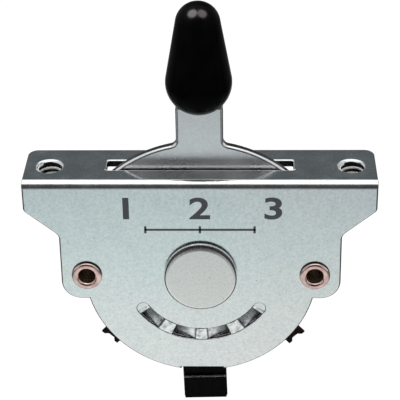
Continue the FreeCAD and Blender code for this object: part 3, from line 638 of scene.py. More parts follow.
@dataclass(frozen=True)
class EdgeBreak:
    """How far the edges of a stamped, turned or moulded piece are rounded."""

    width_mm: float = 0.08
    segments: int = 3
    sharper_than_deg: float = 32.0
    smooth_deg: float = 38.0
    least_mitre: float = 0.25

    def copy_of(
        self, node: str, name: str, share_of: Callable[[Vector], float] | None = None
    ) -> bpy.types.Object:
        """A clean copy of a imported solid, with its sharp edges rounded.

        Args:
            node: The solid's name.
            name: The new piece's name.
            share_of: Gives an edge's share of the width from its middle in millimetres.

        Returns:
            The new piece, at the origin.
        """
        work = bmesh.new()
        work.from_mesh(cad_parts[node].data)
        bmesh.ops.remove_doubles(work, verts=work.verts, dist=2e-7)
        rounded = self._rounded(work, share_of or (lambda middle: 1.0))
        work.free()
        piece = piece_from(mesh_from(rounded, name), name)
        smooth_by_angle(piece.data, self.smooth_deg)
        weighted = piece.modifiers.new("flat_faces", "WEIGHTED_NORMAL")
        weighted.keep_sharp = True
        weighted.weight = 80
        flatten_normals(applied(piece).data)
        return piece

    def _rounded(
        self, work: bmesh.types.BMesh, share_of: Callable[[Vector], float]
    ) -> bmesh.types.BMesh:
        """Draws each smooth face back from its sharp edges and bridges the gaps with arcs.

        Args:
            work: The clean solid.
            share_of: Gives an edge's share of the width from its middle in millimetres.

        Returns:
            The rounded solid as a new mesh.
        """
        limit = math.radians(self.sharper_than_deg)
        sharp = {
            edge: self.width_mm * MM * share_of((edge.verts[0].co + edge.verts[1].co) / (2 * MM))
            for edge in work.edges
            if len(edge.link_faces) == 2 and edge.calc_face_angle(0.0) > limit
        }
        out = bmesh.new()
        fan_at: dict[tuple[bmesh.types.BMVert, bmesh.types.BMFace], Fan] = {}
        for corner in work.verts:
            for fan in self._fans(corner, sharp):
                fan.moved = out.verts.new(corner.co + fan.shift)
                for face in fan.faces:
                    fan_at[corner, face] = fan
        for face in work.faces:
            self._add_face(out, [fan_at[v, face].moved for v in face.verts])
        arcs: dict[tuple[int, int], list[bmesh.types.BMVert]] = {}
        gaps: dict[bmesh.types.BMVert, list[tuple[Fan, Fan]]] = {}
        for edge in sharp:
            near, far = edge.link_faces
            start = next(loop.vert for loop in edge.link_loops if loop.face == near)
            rows = []
            for corner in (start, edge.other_vert(start)):
                a, b = fan_at[corner, near], fan_at[corner, far]
                rows.append(self._arc(out, arcs, a, b))
                gaps.setdefault(corner, []).append((a, b) if corner is start else (b, a))
            for k in range(self.segments):
                self._add_face(out, [rows[1][k], rows[0][k], rows[0][k + 1], rows[1][k + 1]])
        for pairs in gaps.values():
            if len(pairs) > 2:
                self._fill_corner(out, arcs, pairs)
        out.normal_update()
        return out

    def _fans(self, corner: bmesh.types.BMVert, sharp: dict) -> list[Fan]:
        """The fans of faces round a corner, each with the shift that its sharp edges ask for.

        Args:
            corner: A vertex of the clean solid.
            sharp: The sharp edges with their widths in metres.

        Returns:
            The fans.
        """
        left = set(corner.link_faces)
        fans = []
        while left:
            first = left.pop()
            members, queue, bounds = [first], [first], []
            while queue:
                face = queue.pop()
                for edge in face.edges:
                    if corner not in edge.verts:
                        continue
                    if edge in sharp:
                        bounds.append((edge, face))
                        continue
                    for other in edge.link_faces:
                        if other in left:
                            left.remove(other)
                            members.append(other)
                            queue.append(other)
            fan = Fan(corner, members)
            if len(bounds) == 2 and bounds[0][0] is not bounds[1][0]:
                fan.shift = self._mitred(corner, bounds, sharp)
            fans.append(fan)
        return fans

    def _mitred(self, corner: bmesh.types.BMVert, bounds: list, sharp: dict) -> Vector:
        """The shift that keeps a fan's corner at each width from its two sharp edges.

        Args:
            corner: The vertex.
            bounds: The two sharp edges, each with the fan's face beside it.
            sharp: The sharp edges with their widths in metres.

        Returns:
            The shift.
        """
        inward, widths = [], []
        for edge, face in bounds:
            along = (edge.other_vert(corner).co - corner.co).normalized()
            across = face.normal.cross(along).normalized()
            middle = (edge.verts[0].co + edge.verts[1].co) / 2
            if across.dot(face.calc_center_median() - middle) < 0:
                across = -across
            inward.append(across)
            widths.append(sharp[edge])
        c = inward[0].dot(inward[1])
        if c > 0.98 or c < self.least_mitre - 1:
            mean = sum(widths) / 2
            return (inward[0] + inward[1]) * mean / max(1 + c, self.least_mitre)
        a = (widths[0] - c * widths[1]) / (1 - c * c)
        b = (widths[1] - c * widths[0]) / (1 - c * c)
        return inward[0] * a + inward[1] * b

    def _arc(
        self, out: bmesh.types.BMesh, arcs: dict, a: Fan, b: Fan
    ) -> list[bmesh.types.BMVert]:
        """The points of the rounding between two fans of one corner, from the first to the second.

        Args:
            out: The mesh being made.
            arcs: The points made so far, by the pair of fans.
            a: The first fan.
            b: The second fan.

        Returns:
            The points.
        """
        if (id(b), id(a)) in arcs:
            return arcs[id(b), id(a)][::-1]
        if (id(a), id(b)) not in arcs:
            if a is b:
                arcs[id(a), id(b)] = [a.moved] * (self.segments + 1)
            else:
                inner = []
                for k in range(1, self.segments):
                    turn = math.pi / 2 * k / self.segments
                    shift = a.shift * (1 - math.sin(turn)) + b.shift * (1 - math.cos(turn))
                    inner.append(out.verts.new(a.corner.co + shift))
                arcs[id(a), id(b)] = [a.moved, *inner, b.moved]
        return arcs[id(a), id(b)]

    def _fill_corner(
        self, out: bmesh.types.BMesh, arcs: dict, pairs: list[tuple[Fan, Fan]]
    ) -> None:
        """Closes the patch where three or more roundings meet.

        Args:
            out: The mesh being made.
            arcs: The points of the roundings, by the pair of fans.
            pairs: The roundings that meet, each from its first fan to its second.
        """
        after = {id(a): (a, b) for a, b in pairs}
        a, b = pairs[0]
        loop = []
        for _ in pairs:
            loop += self._arc(out, arcs, a, b)[:-1]
            if id(b) not in after:
                return
            a, b = after[id(b)]
        if len(set(loop)) > 2:
            self._add_face(out, loop[::-1])

    @staticmethod
    def _add_face(out: bmesh.types.BMesh, corners: list[bmesh.types.BMVert]) -> None:
        """Adds a face without its repeated corners, if enough are left.

        Args:
            out: The mesh that gets the face.
            corners: The face's corners in order.
        """
        kept = list(dict.fromkeys(corners))
        if len(kept) > 2 and not out.faces.get(kept):
            out.faces.new(kept)


def arc_profile(
    centre: tuple[float, float], radius: float, start: float, end: float, steps: int
) -> list[tuple[float, float]]:
    """Points of an arc in a turned profile.

    Args:
        centre: Its centre (radius, height).
        radius: Its radius.
        start: First angle in degrees.
        end: Last angle in degrees.
        steps: How many spans it has.

    Returns:
        The points, first and last included.
    """
    turns = [math.radians(start + (end - start) * i / steps) for i in range(steps + 1)]
    return [(centre[0] + radius * math.cos(a), centre[1] + radius * math.sin(a)) for a in turns]


def turned_mesh(
    profile: list[tuple[float, float]], segments: int, base: Matrix, name: str, closed: bool = False
) -> bpy.types.Mesh:
    """A mesh turned about an axis from a profile.

    Args:
        profile: Points (radius, height) in millimetres, along the outline.
        segments: Steps round the axis.
        base: Where the axis stands; heights run along its Z.
        name: The mesh's name.
        closed: Whether the profile's last point joins its first, as in a ring.

    Returns:
        The mesh, in metres, with its faces outwards.
    """
    work = bmesh.new()
    rings = []
    turns = [2 * math.pi * i / segments for i in range(segments)]
    for radius, height in profile:
        r, z = radius * MM, height * MM
        places = [(r * math.cos(a), r * math.sin(a), z) for a in turns] if r > 1e-9 else [(0, 0, z)]
        rings.append([work.verts.new(place) for place in places])
    spans = list(zip(rings, rings[1:]))
    if closed:
        spans.append((rings[-1], rings[0]))
    for low, high in spans:
        for i in range(segments):
            j = (i + 1) % segments
            if len(low) == 1:
                work.faces.new((low[0], high[j], high[i]))
            elif len(high) == 1:
                work.faces.new((low[i], low[j], high[0]))
            else:
                work.faces.new((low[i], low[j], high[j], high[i]))
    bmesh.ops.recalc_face_normals(work, faces=work.faces)
    mesh = mesh_from(work, name)
    mesh.transform(base)
    smooth_by_angle(mesh)
    return mesh


def along_y(x: float, z: float) -> Matrix:
    """A turning axis that points to the rear through a front-view place in millimetres."""
    return Matrix.Translation((x * MM, 0, z * MM)) @ Matrix.Rotation(math.radians(-90), 4, "X")


def joined(meshes: list[bpy.types.Mesh], name: str) -> bpy.types.Object:
    """One piece from several meshes.

    Args:
        meshes: The meshes, which are used up.
        name: The piece's name.

    Returns:
        The new piece.
    """
    work = bmesh.new()
    for mesh in meshes:
        work.from_mesh(mesh)
        bpy.data.meshes.remove(mesh)
    bmesh.ops.remove_doubles(work, verts=work.verts, dist=1e-8)
    return piece_from(mesh_from(work, name), name)


class Body(Enum):
    """The two rigid bodies of the switch."""

    FRAME = "frame"
    LEVER = "lever"


def settled(
    piece: bpy.types.Object,
    body: Body,
    slot: str,
    finish: bpy.types.Material,
    *nodes: str,
) -> bpy.types.Object:
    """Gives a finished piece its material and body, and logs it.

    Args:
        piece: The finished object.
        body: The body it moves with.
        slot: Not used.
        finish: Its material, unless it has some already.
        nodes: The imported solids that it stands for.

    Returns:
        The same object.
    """
    if not piece.data.materials:
        piece.data.materials.append(finish)
    if nodes:
        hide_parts(*nodes)
    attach(piece, body.value)
    log.info("%s rides on %s", piece.name, body.value)
    return piece


def painted(
    piece: bpy.types.Object,
    finishes: list[bpy.types.Material],
    choose: Callable[[bpy.types.MeshPolygon], int],
) -> None:
    """Gives each face of a piece one of several finishes.

    Args:
        piece: The piece, with no material yet.
        finishes: The finishes.
        choose: Gives the place of a face's finish in that list.
    """
    for finish in finishes:
        piece.data.materials.append(finish)
    for face in piece.data.polygons:
        face.material_index = choose(face)


# Geometry Nodes trees

class NodesTree:
    """A Geometry Nodes tree with named inputs, built in the script."""

    def __init__(self, name: str) -> None:
        """Makes a tree with one geometry input and one output.

        Args:
            name: The tree's name.
        """
        self.tree = bpy.data.node_groups.new(name, "GeometryNodeTree")
        for way in ("INPUT", "OUTPUT"):
            self.tree.interface.new_socket(
                "Geometry", in_out=way, socket_type="NodeSocketGeometry"
            )
        self.inlet = self.tree.nodes.new("NodeGroupInput")
        self.outlet = self.tree.nodes.new("NodeGroupOutput")

    def size(self, name: str) -> None:
        """Adds a named number."""
        self.tree.interface.new_socket(name, in_out="INPUT", socket_type="NodeSocketFloat")

    def node(self, kind: str, **values: object) -> bpy.types.Node:
        """Adds a node and sets its inputs.

        Args:
            kind: The node's type.
            values: Sockets to join or plain values, by input name with _ for a space.

        Returns:
            The node.
        """
        node = self.tree.nodes.new(kind)
        for key, value in values.items():
            socket = node.inputs[key.replace("_", " ")]
            if isinstance(value, bpy.types.NodeSocket):
                self.tree.links.new(value, socket)
            else:
                socket.default_value = value
        return node

    def maths(self, operation: str, a: object, b: object = 0.0) -> bpy.types.NodeSocket:
        """One sum of two numbers or sockets.

        Args:
            operation: The Math node's operation.
            a: First value.
            b: Second value.

        Returns:
            The result's socket.
        """
        node = self.tree.nodes.new("ShaderNodeMath")
        node.operation = operation
        for socket, value in zip(node.inputs, (a, b)):
            if isinstance(value, bpy.types.NodeSocket):
                self.tree.links.new(value, socket)
            else:
                socket.default_value = value
        return node.outputs[0]

    def finish(self, geometry: bpy.types.NodeSocket, material: bpy.types.Material) -> None:
        """Ends the tree with plain geometry in one material.

        Args:
            geometry: What the tree has made.
            material: The material of all of it.
        """
        real = self.node("GeometryNodeRealizeInstances", Geometry=geometry)
        dressed = self.node("GeometryNodeSetMaterial", Geometry=real.outputs[0])
        dressed.inputs["Material"].default_value = material
        self.tree.links.new(dressed.outputs[0], self.outlet.inputs[0])

    def run(self, name: str, points: list[Vector], **values: float) -> bpy.types.Object:
        """Makes the tree's result a plain piece.

        Args:
            name: The piece's name.
            points: The places it works on, as loose points.
            values: The named inputs' values.

        Returns:
            The piece, with no modifier left.
        """
        mesh = bpy.data.meshes.new(name)
        mesh.from_pydata([tuple(p) for p in points], [], [])
        piece = piece_from(mesh, name)
        modifier = piece.modifiers.new(name, "NODES")
        modifier.node_group = self.tree
        for item in self.tree.interface.items_tree:
            if item.in_out == "INPUT" and item.name in values:
                modifier[item.identifier] = values[item.name]
        return applied(piece)


# Sub-assemblies

class SheetArea(Enum):
    """The areas of the bracket's sheet, with the finish of each."""

    SKIN = "zinc_plate"
    # From here on the finishes hold painted light: shade deeper in the pressed strip, shade and a
    # highlight on walls, shade on rims and in bores and the slot, and a highlight on the slot's near
    # edge.
    PRESSED = "pressed_zinc"
    WALL = "sheared_edge"
    RIM_PAINTED_SHADE = "torn_edge"
    DEEP_PAINTED_SHADE = "dark_bore"
    PAINTED_HIGHLIGHT = "worn_edge"


@dataclass
class Bracket:
    """Folded bracket with its tapped holes and the marks on its plate. Millimetres."""

    finishes: Finishes
    skin_round: float = 0.3
    back_share: float = 0.25
    slit_share: float = 0.12
    opening_share: float = 0.35
    rim_slope: float = 0.88
    sheet: float = 1.0
    hole_half_spacing: float = 20.64
    bore_r: float = 1.6
    thread_pitch: float = 0.794
    thread_depth: float = 0.2
    thread_top: float = -0.35
    thread_bottom: float = -2.45
    track_r: tuple[float, float] = (8.75, 10.8)
    track_half_angle: float = 56.5
    track_border: float = 1.2
    slit_r: tuple[float, float] = (8.85, 10.7)
    slit_reach: float = 0.03
    plate_rear_y: float = -1.0
    plate_top: float = -1.2
    rim_depth: float = 0.4
    hole_rim_r: float = 2.4
    bore_top: float = -0.25
    slot_half_length: float = 13.0
    slot_y: tuple[float, float] = (-1.5, 2.2)
    # Lowest point of the painted highlight on the slot's near edge.
    painted_highlight_bottom: float = -0.5
    bend_depth: float = 1.6
    mark_height: float = 3.2
    mark_z: float = -3.95
    mark_step: float = 10.0
    mark_stretch: float = 1.3
    mark_bolder: float = 0.1
    size_per_height: float = 1.43
    rule_z: float = -7.3
    rule_half_length: float = 7.6
    rule_width: float = 0.32
    tick_height: float = 1.1
    ink_thickness: float = 0.012
    front_y: float = field(init=False)

    def __post_init__(self) -> None:
        """Reads the plate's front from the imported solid."""
        self.front_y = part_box("frame")[0].y / MM

    def in_track(self, place: Vector) -> bool:
        """Tests for the detent track's ring sector.

        Args:
            place: A place in millimetres.

        Returns:
            Whether the place lies in it.
        """
        across, down = place.x, PIVOT_Z - place.z
        turn = abs(math.degrees(math.atan2(across, down)))
        in_ring = self.track_r[0] < math.hypot(across, down) < self.track_r[1]
        return in_ring and turn < self.track_half_angle and place.y < self.plate_rear_y

    def edge_share(self, middle: Vector) -> float:
        """Rolled edges on the outer skin, small breaks on the inner one and along the slits.

        Args:
            middle: The edge's middle in millimetres.

        Returns:
            The share of the full width.
        """
        r = math.hypot(middle.x, middle.z - PIVOT_Z)
        in_front = middle.y < self.front_y + NEAR
        if self.in_track(middle):
            at_slit = min(abs(r - slit) for slit in self.slit_r) < self.slit_reach
            return self.opening_share if at_slit and in_front else self.slit_share
        outer = in_front or middle.z > -NEAR
        return 1.0 if outer and r >= self.track_r[1] + self.track_border else self.back_share

    def body(self) -> bpy.types.Object:
        """Makes the folded sheet, with finishes of their own on the pressed strip and walls, painted
        shade on rims, bores and slot walls, and a painted highlight on the slot's near edge.

        Returns:
            The piece.
        """
        piece = EdgeBreak(self.skin_round, 4).copy_of("frame", "bracket_sheet", self.edge_share)
        # Depth below the front skin, which the pressed and wall finishes turn into painted shade and a
        # painted highlight.
        depth = piece.data.attributes.new("depth_mm", "FLOAT", "POINT")
        for vertex, value in zip(piece.data.vertices, depth.data):
            place = vertex.co / MM
            value.value = max(0.0, min(place.y - self.front_y, -place.z))
        areas = list(SheetArea)
        painted(
            piece,
            [self.finishes[area.value] for area in areas],
            lambda face: areas.index(self.area_of(face.center / MM, face.normal)),
        )
        return settled(piece, Body.FRAME, "zinc_plate", self.finishes["zinc_plate"], "frame")

    def area_of(self, middle: Vector, normal: Vector) -> SheetArea:
        """The area of the sheet that a face belongs to.

        Args:
            middle: The face's middle in millimetres.
            normal: Its normal.

        Returns:
            The area.
        """
        if middle.y < self.front_y + self.sheet + NEAR and middle.z < self.plate_top:
            if abs(normal.y) < WALL_SLOPE:
                return SheetArea.WALL
            # The pressed strip's finish paints shade that deepens with depth.
            if self.in_track(middle):
                return SheetArea.PRESSED if normal.y < 0.3 else SheetArea.SKIN
            # Painted shade: steep faces of the plate's front roundings.
            steep = abs(normal.y) < self.rim_slope and middle.y < self.front_y + self.rim_depth
            return SheetArea.RIM_PAINTED_SHADE if steep else SheetArea.SKIN
        across = abs(middle.x)
        if math.hypot(across - self.hole_half_spacing, middle.y) < self.hole_rim_r:
            # Painted shade: the deep walls of the tapped holes.
            deep = middle.z < self.bore_top and abs(normal.z) < 0.5
            return SheetArea.DEEP_PAINTED_SHADE if deep else SheetArea.SKIN
        if across < self.slot_half_length and self.slot_y[0] < middle.y < self.slot_y[1]:
            # Painted shade on the slot's walls, and a painted highlight on its near edge.
            if abs(normal.z) < 0.3:
                return SheetArea.DEEP_PAINTED_SHADE
            near = middle.y < 0 and normal.y > WALL_SLOPE and middle.z > self.painted_highlight_bottom
            return SheetArea.PAINTED_HIGHLIGHT if near else SheetArea.SKIN
        # Painted shade: steep flange roundings, side faces and the flange's rear edge.
        past_bend = middle.y > self.front_y + self.bend_depth
        steep = abs(normal.z) < self.rim_slope and past_bend or abs(normal.x) > 0.5
        rear = middle.y > 0 and normal.y > 0.1 and middle.z > -self.sheet
        return SheetArea.RIM_PAINTED_SHADE if steep or rear else SheetArea.SKIN

    def threads(self) -> bpy.types.Object:
        """Makes the thread crests in both tapped holes, in a near-white finish that paints their
        highlight.

        Returns:
            The piece.
        """
        t = NodesTree("tapped_thread")
        for name in ("Radius", "Pitch", "Turns", "Depth"):
            t.size(name)
        given = t.inlet.outputs
        height = t.maths("MULTIPLY", given["Pitch"], given["Turns"])
        spiral = t.node(
            "GeometryNodeCurveSpiral",
            Resolution=48,
            Rotations=given["Turns"],
            Start_Radius=given["Radius"],
            End_Radius=given["Radius"],
            Height=height,
        )
        crest = t.node("GeometryNodeCurvePrimitiveCircle", Resolution=3, Radius=given["Depth"])
        tube = t.node(
            "GeometryNodeCurveToMesh",
            Curve=spiral.outputs["Curve"],
            Profile_Curve=crest.outputs["Curve"],
            Fill_Caps=True,
        )
        copies = t.node(
            "GeometryNodeInstanceOnPoints", Points=given["Geometry"], Instance=tube.outputs["Mesh"]
        )
        # Painted highlight: the crests get the near-white finish.
        t.finish(copies.outputs["Instances"], self.finishes["worn_edge"])
        turns = (self.thread_top - self.thread_bottom) / self.thread_pitch
        places = [
            Vector((side * self.hole_half_spacing, 0, self.thread_bottom)) * MM for side in (-1, 1)
        ]
        piece = t.run(
            "tapped_threads",
            places,
            Radius=self.bore_r * MM,
            Pitch=self.thread_pitch * MM,
            Turns=turns,
            Depth=self.thread_depth * MM,
        )
        return settled(piece, Body.FRAME, "zinc_plate", self.finishes["zinc_plate"])

    def numeral(self, word: str, x: float) -> bpy.types.Mesh:
        """One printed numeral.

        Args:
            word: The numeral.
            x: Its place from the middle.

        Returns:
            Its mesh, flat on the plate.
        """
        curve = bpy.data.curves.new(f"mark_{word}", "FONT")
        curve.body = word
        curve.size = self.mark_height * self.size_per_height
        curve.align_x = "CENTER"
        curve.offset = self.mark_bolder
        curve.extrude = self.ink_thickness / 2
        text = bpy.data.objects.new(f"mark_{word}", curve)
        bpy.context.scene.collection.objects.link(text)
        mesh = evaluated_mesh(text)
        bpy.data.objects.remove(text)
        wide = Matrix.Diagonal((self.mark_stretch, 1, 1, 1))
        upright = Matrix.Rotation(math.radians(90), 4, "X")
        low = self.mark_z - self.mark_height / 2
        place = Matrix.Translation((x, self.front_y - self.ink_thickness / 2, low))
        mesh.transform(Matrix.Scale(MM, 4) @ place @ upright @ wide)
        return mesh

    def bar(self, x: float, z: float, width: float, height: float) -> bpy.types.Mesh:
        """One printed bar.

        Args:
            x: Its middle from the plate's middle.
            z: Its middle's height.
            width: Its length along X.
            height: Its length along Z.

        Returns:
            Its mesh, flat on the plate.
        """
        size = Matrix.Diagonal((width, self.ink_thickness, height, 1))
        place = Matrix.Translation((x, self.front_y - self.ink_thickness / 2, z))
        return block("bar", Matrix.Scale(MM, 4) @ place @ size)

    def marks(self) -> bpy.types.Object:
        """Prints plain position numbers on the plate, over a ruled line with three ticks.

        Returns:
            The piece.
        """
        steps = (-1, 0, 1)
        parts = [self.numeral(str(s + 2), s * self.mark_step) for s in steps]
        parts.append(self.bar(0, self.rule_z, 2 * self.rule_half_length, self.rule_width))
        for s in steps:
            x = s * (self.rule_half_length - self.rule_width / 2)
            parts.append(self.bar(x, self.rule_z, self.rule_width, self.tick_height))
        piece = joined(parts, "position_numbers")
        return settled(piece, Body.FRAME, "zinc_plate", self.finishes["plate_ink"])

    def build(self) -> None:
        """Makes the bracket's pieces."""
        self.body()
        self.threads()
        self.marks()


@dataclass
class LeverAssembly:
    """Lever, knob, shaft, bush and clip. Millimetres."""

    finishes: Finishes
    low_centre: float = 12.65
    low_r: float = 4.47
    high_centre: float = 20.95
    high_r: float = 3.0
    flat_r: float = 1.1
    segments: int = 128
    rolled_edge: float = 0.34
    back_share: float = 0.2
    rim_slope: float = 0.9
    head_round: float = 0.3
    head_r: float = 4.92
    bead_r: float = 0.1
    head_back_share: float = 0.3
    pockets: tuple[tuple[float, float], ...] = ((3.22, 9.17), (2.02, 17.02))
    pocket_play: float = 0.04
    wall_spans: int = 12
    seat_r: float = 2.6
    knob_seat_z: float = 9.2
    skin_y: float = -0.59
    # Normals of the band inside the front roundings that is painted as a dark line of shade.
    line_slope: tuple[float, float] = (-0.995, -0.97)
    knob_piece: bpy.types.Object = field(init=False)

    def knob(self) -> bpy.types.Object:
        """Makes the pear-shaped knob, turned finely, with its pocket cut out.

        Returns:
            The piece.
        """
        lean = math.degrees(
            math.asin((self.low_r - self.high_r) / (self.high_centre - self.low_centre))
        )
        start = -math.degrees(math.acos(self.flat_r / self.low_r))
        flat_z = self.low_centre + self.low_r * math.sin(math.radians(start))
        profile = [(0.0, flat_z)]
        profile += arc_profile((0, self.low_centre), self.low_r, start, lean, 40)
        tip = arc_profile((0, self.high_centre), self.high_r, lean, 90, 32)
        wall, crown = profile[-1], tip[0]
        profile += [
            tuple(a + (b - a) * i / self.wall_spans for a, b in zip(wall, crown))
            for i in range(1, self.wall_spans)
        ]
        profile += tip[:-1] + [(0.0, self.high_centre + self.high_r)]
        piece = piece_from(
            turned_mesh(profile, self.segments, Matrix.Identity(4), "knob_body"), "knob_body"
        )
        low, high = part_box("lever")
        thick = high.y - low.y + self.pocket_play * MM
        cutters = []
        for half, top in self.pockets:
            size = Matrix.Diagonal((2 * half * MM, thick, top * MM, 1))
            pocket = block("pocket", Matrix.Translation((0, 0, top * MM / 2)) @ size)
            cutters.append(piece_from(pocket, "pocket"))
            cut = piece.modifiers.new("pocket", "BOOLEAN")
            cut.operation = "DIFFERENCE"
            cut.solver = "EXACT"
            cut.object = cutters[-1]
        applied(piece)
        for cutter in cutters:
            bpy.data.objects.remove(cutter)
        smooth_by_angle(piece.data, 35)
        return settled(piece, Body.LEVER, "knob_black", self.finishes["knob_black"], "knob")

    def edge_share(self, middle: Vector) -> float:
        """Rolls the edges in front, and breaks them behind and where the knob and shaft sit.

        Args:
            middle: An edge's middle in millimetres.

        Returns:
            The share of the full rounding that the edge gets.
        """
        at_shaft = math.hypot(middle.x, middle.z - PIVOT_Z) < self.seat_r
        seat = at_shaft or middle.z > self.knob_seat_z
        return self.back_share if middle.y > self.skin_y or seat else 1.0

    def build(self) -> None:
        """Makes the lever's pieces."""
        self.knob_piece = self.knob()
        lever = EdgeBreak(self.rolled_edge, 5).copy_of("lever", "lever_finished", self.edge_share)
        # Painted shade on walls, rear roundings, side outlines and a line inside the front roundings.
        shades = [self.finishes["lever_zinc"], self.finishes["torn_edge"]]
        painted(lever, shades, lambda face: int(self.is_dark(face.normal)))
        settled(lever, Body.LEVER, "lever_steel", self.finishes["lever_zinc"], "lever")
        self.shaft()
        for node, width in (("thrust_bush", 0.08), ("retaining_ring", 0.05)):
            piece = EdgeBreak(width).copy_of(node, f"{node}_finished")
            settled(piece, Body.LEVER, "shaft_steel", self.finishes["shaft_nickel"], node)

    def is_dark(self, normal: Vector) -> bool:
        """Whether a face of the lever gets painted shade: a wall, a rear rounding, the line inside a
        front one, or a side outline.

        Args:
            normal: The face's normal.

        Returns:
            True for the finish that paints shade.
        """
        wall = abs(normal.y) < WALL_SLOPE
        rear = WALL_SLOPE < normal.y < 1 - WALL_SLOPE
        line = self.line_slope[0] < normal.y < self.line_slope[1]
        outline = abs(normal.x) > 0.6 and abs(normal.z) < 0.25 and normal.y > -0.85
        return wall or rear or line or outline

    def shaft(self) -> None:
        """The shaft with its round head, and the bright bead where the head meets the plate."""
        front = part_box("pivot_shaft")[0].y / MM
        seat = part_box("frame")[0].y / MM

        def share(middle: Vector) -> float:
            """The share of the full rounding at an edge."""
            return 1.0 if middle.y < front + NEAR else self.head_back_share

        def is_rim(face: bpy.types.MeshPolygon) -> int:
            """1 on the steep rim of the head, which is painted as shade, else 0."""
            return int(abs(face.normal.y) < self.rim_slope and face.center.y / MM < seat)

        piece = EdgeBreak(self.head_round, 6).copy_of("pivot_shaft", "pivot_shaft_finished", share)
        painted(piece, [self.finishes["shaft_nickel"], self.finishes["torn_edge"]], is_rim)
        settled(piece, Body.LEVER, "shaft_steel", self.finishes["shaft_nickel"], "pivot_shaft")
        ring = arc_profile((self.head_r, seat - self.bead_r), self.bead_r, 0, 360, 16)[:-1]
        mesh = turned_mesh(ring, 96, along_y(0, PIVOT_Z), "head_bead", closed=True)
        bead = piece_from(mesh, "head_bead")
        settled(bead, Body.LEVER, "shaft_steel", self.finishes["lever_zinc"])


@dataclass
class DetentSpring:
    """The black leaf, bare at its sheared hem edge. Millimetres."""

    finishes: Finishes
    hem_height: float = 3.9
    hem_reach: float = 0.4
    hem_rear_y: float = -1.05

    def build(self) -> None:
        """Makes the leaf and its rivets."""
        leaf = EdgeBreak(0.04).copy_of("detent_spring", "leaf_spring")
        hem_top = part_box("detent_spring")[0].z + self.hem_height * MM

        def at_hem(face: bpy.types.MeshPolygon) -> int:
            """1 on the bare edge of the hem, else 0."""
            near = abs(face.center.z - hem_top) < self.hem_reach * MM
            return int(near and face.center.y < self.hem_rear_y * MM and face.normal.z > 0.5)

        painted(leaf, [self.finishes["spring_black"], self.finishes["bare_edge"]], at_hem)
        settled(leaf, Body.LEVER, "spring_black", self.finishes["spring_black"], "detent_spring")
        rivets = EdgeBreak(0.1).copy_of("spring_rivets", "leaf_rivets")
        settled(rivets, Body.LEVER, "shaft_steel", self.finishes["shaft_nickel"], "spring_rivets")


@dataclass
class Eyelets:
    """The hollow rivets and spacers at the ears. Millimetres."""

    finishes: Finishes
    bore_r: float = 1.1
    tube_r: float = 1.5
    head_r: float = 2.1
    clinch_r: float = 2.0
    mouth_roll: float = 0.45
    head_roll: float = 0.4
    clinch_roll: float = 0.3
    bore_depth: float = 0.5
    bore_reach: float = 0.02
    # Width of the painted-shade line round the head.
    outline_width: float = 0.1

    def eyelet(self, node: str) -> bpy.types.Object:
        """One eyelet with its rolled head.

        Args:
            node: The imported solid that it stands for.

        Returns:
            The piece.
        """
        low, high = (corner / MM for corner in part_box(node))
        x, z = (low.x + high.x) / 2, (low.z + high.z) / 2
        head, seat, back = low.y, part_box("frame")[0].y / MM, high.y
        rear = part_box("wafer")[1].y / MM
        profile = [(self.bore_r, rear)]
        mouth, lip, clinch = self.mouth_roll, self.head_roll, self.clinch_roll
        profile += arc_profile((self.bore_r + mouth, head + mouth), mouth, 180, 270, 10)
        profile += arc_profile((self.head_r - lip, head + lip), lip, 270, 360, 10)
        profile += [(self.head_r, seat), (self.tube_r, seat), (self.tube_r, rear)]
        profile += arc_profile((self.clinch_r - clinch, back - clinch), clinch, 0, 90, 6)
        profile += arc_profile((self.bore_r + clinch, back - clinch), clinch, 90, 180, 6)
        mesh = turned_mesh(profile, 64, along_y(x, z), f"{node}_rolled", closed=True)
        piece = piece_from(mesh, f"{node}_rolled")

        def shade(face: bpy.types.MeshPolygon) -> int:
            """Picks the finish of a face.

            Args:
                face: A face of the piece.

            Returns:
                0 for copper, 1 for painted shade deep in the bore and 2 for the painted shade that
                outlines the head.
            """
            middle = face.center / MM
            r = math.hypot(middle.x - x, middle.z - z)
            far = r > self.head_r - self.outline_width
            if abs(face.normal.y) < 0.5 and middle.y < seat and far:
                return 2
            return int(r < self.bore_r + self.bore_reach and middle.y > head + self.bore_depth)

        # Copper, painted shade in the bore, and painted shade round the head.
        names = ("eyelet_copper", "eyelet_bore_painted_shade", "dark_bore")
        painted(piece, [self.finishes[name] for name in names], shade)
        return settled(piece, Body.FRAME, "eyelet_copper", self.finishes["eyelet_copper"], node)

    def build(self) -> None:
        """Makes both eyelets and both spacers."""
        for side in ("left", "right"):
            self.eyelet(f"eyelet_{side}")
            name = f"spacer_{side}"
            spacer = EdgeBreak(0.08).copy_of(name, f"{name}_finished")
            settled(spacer, Body.FRAME, "zinc_plate", self.finishes["zinc_plate"], name)


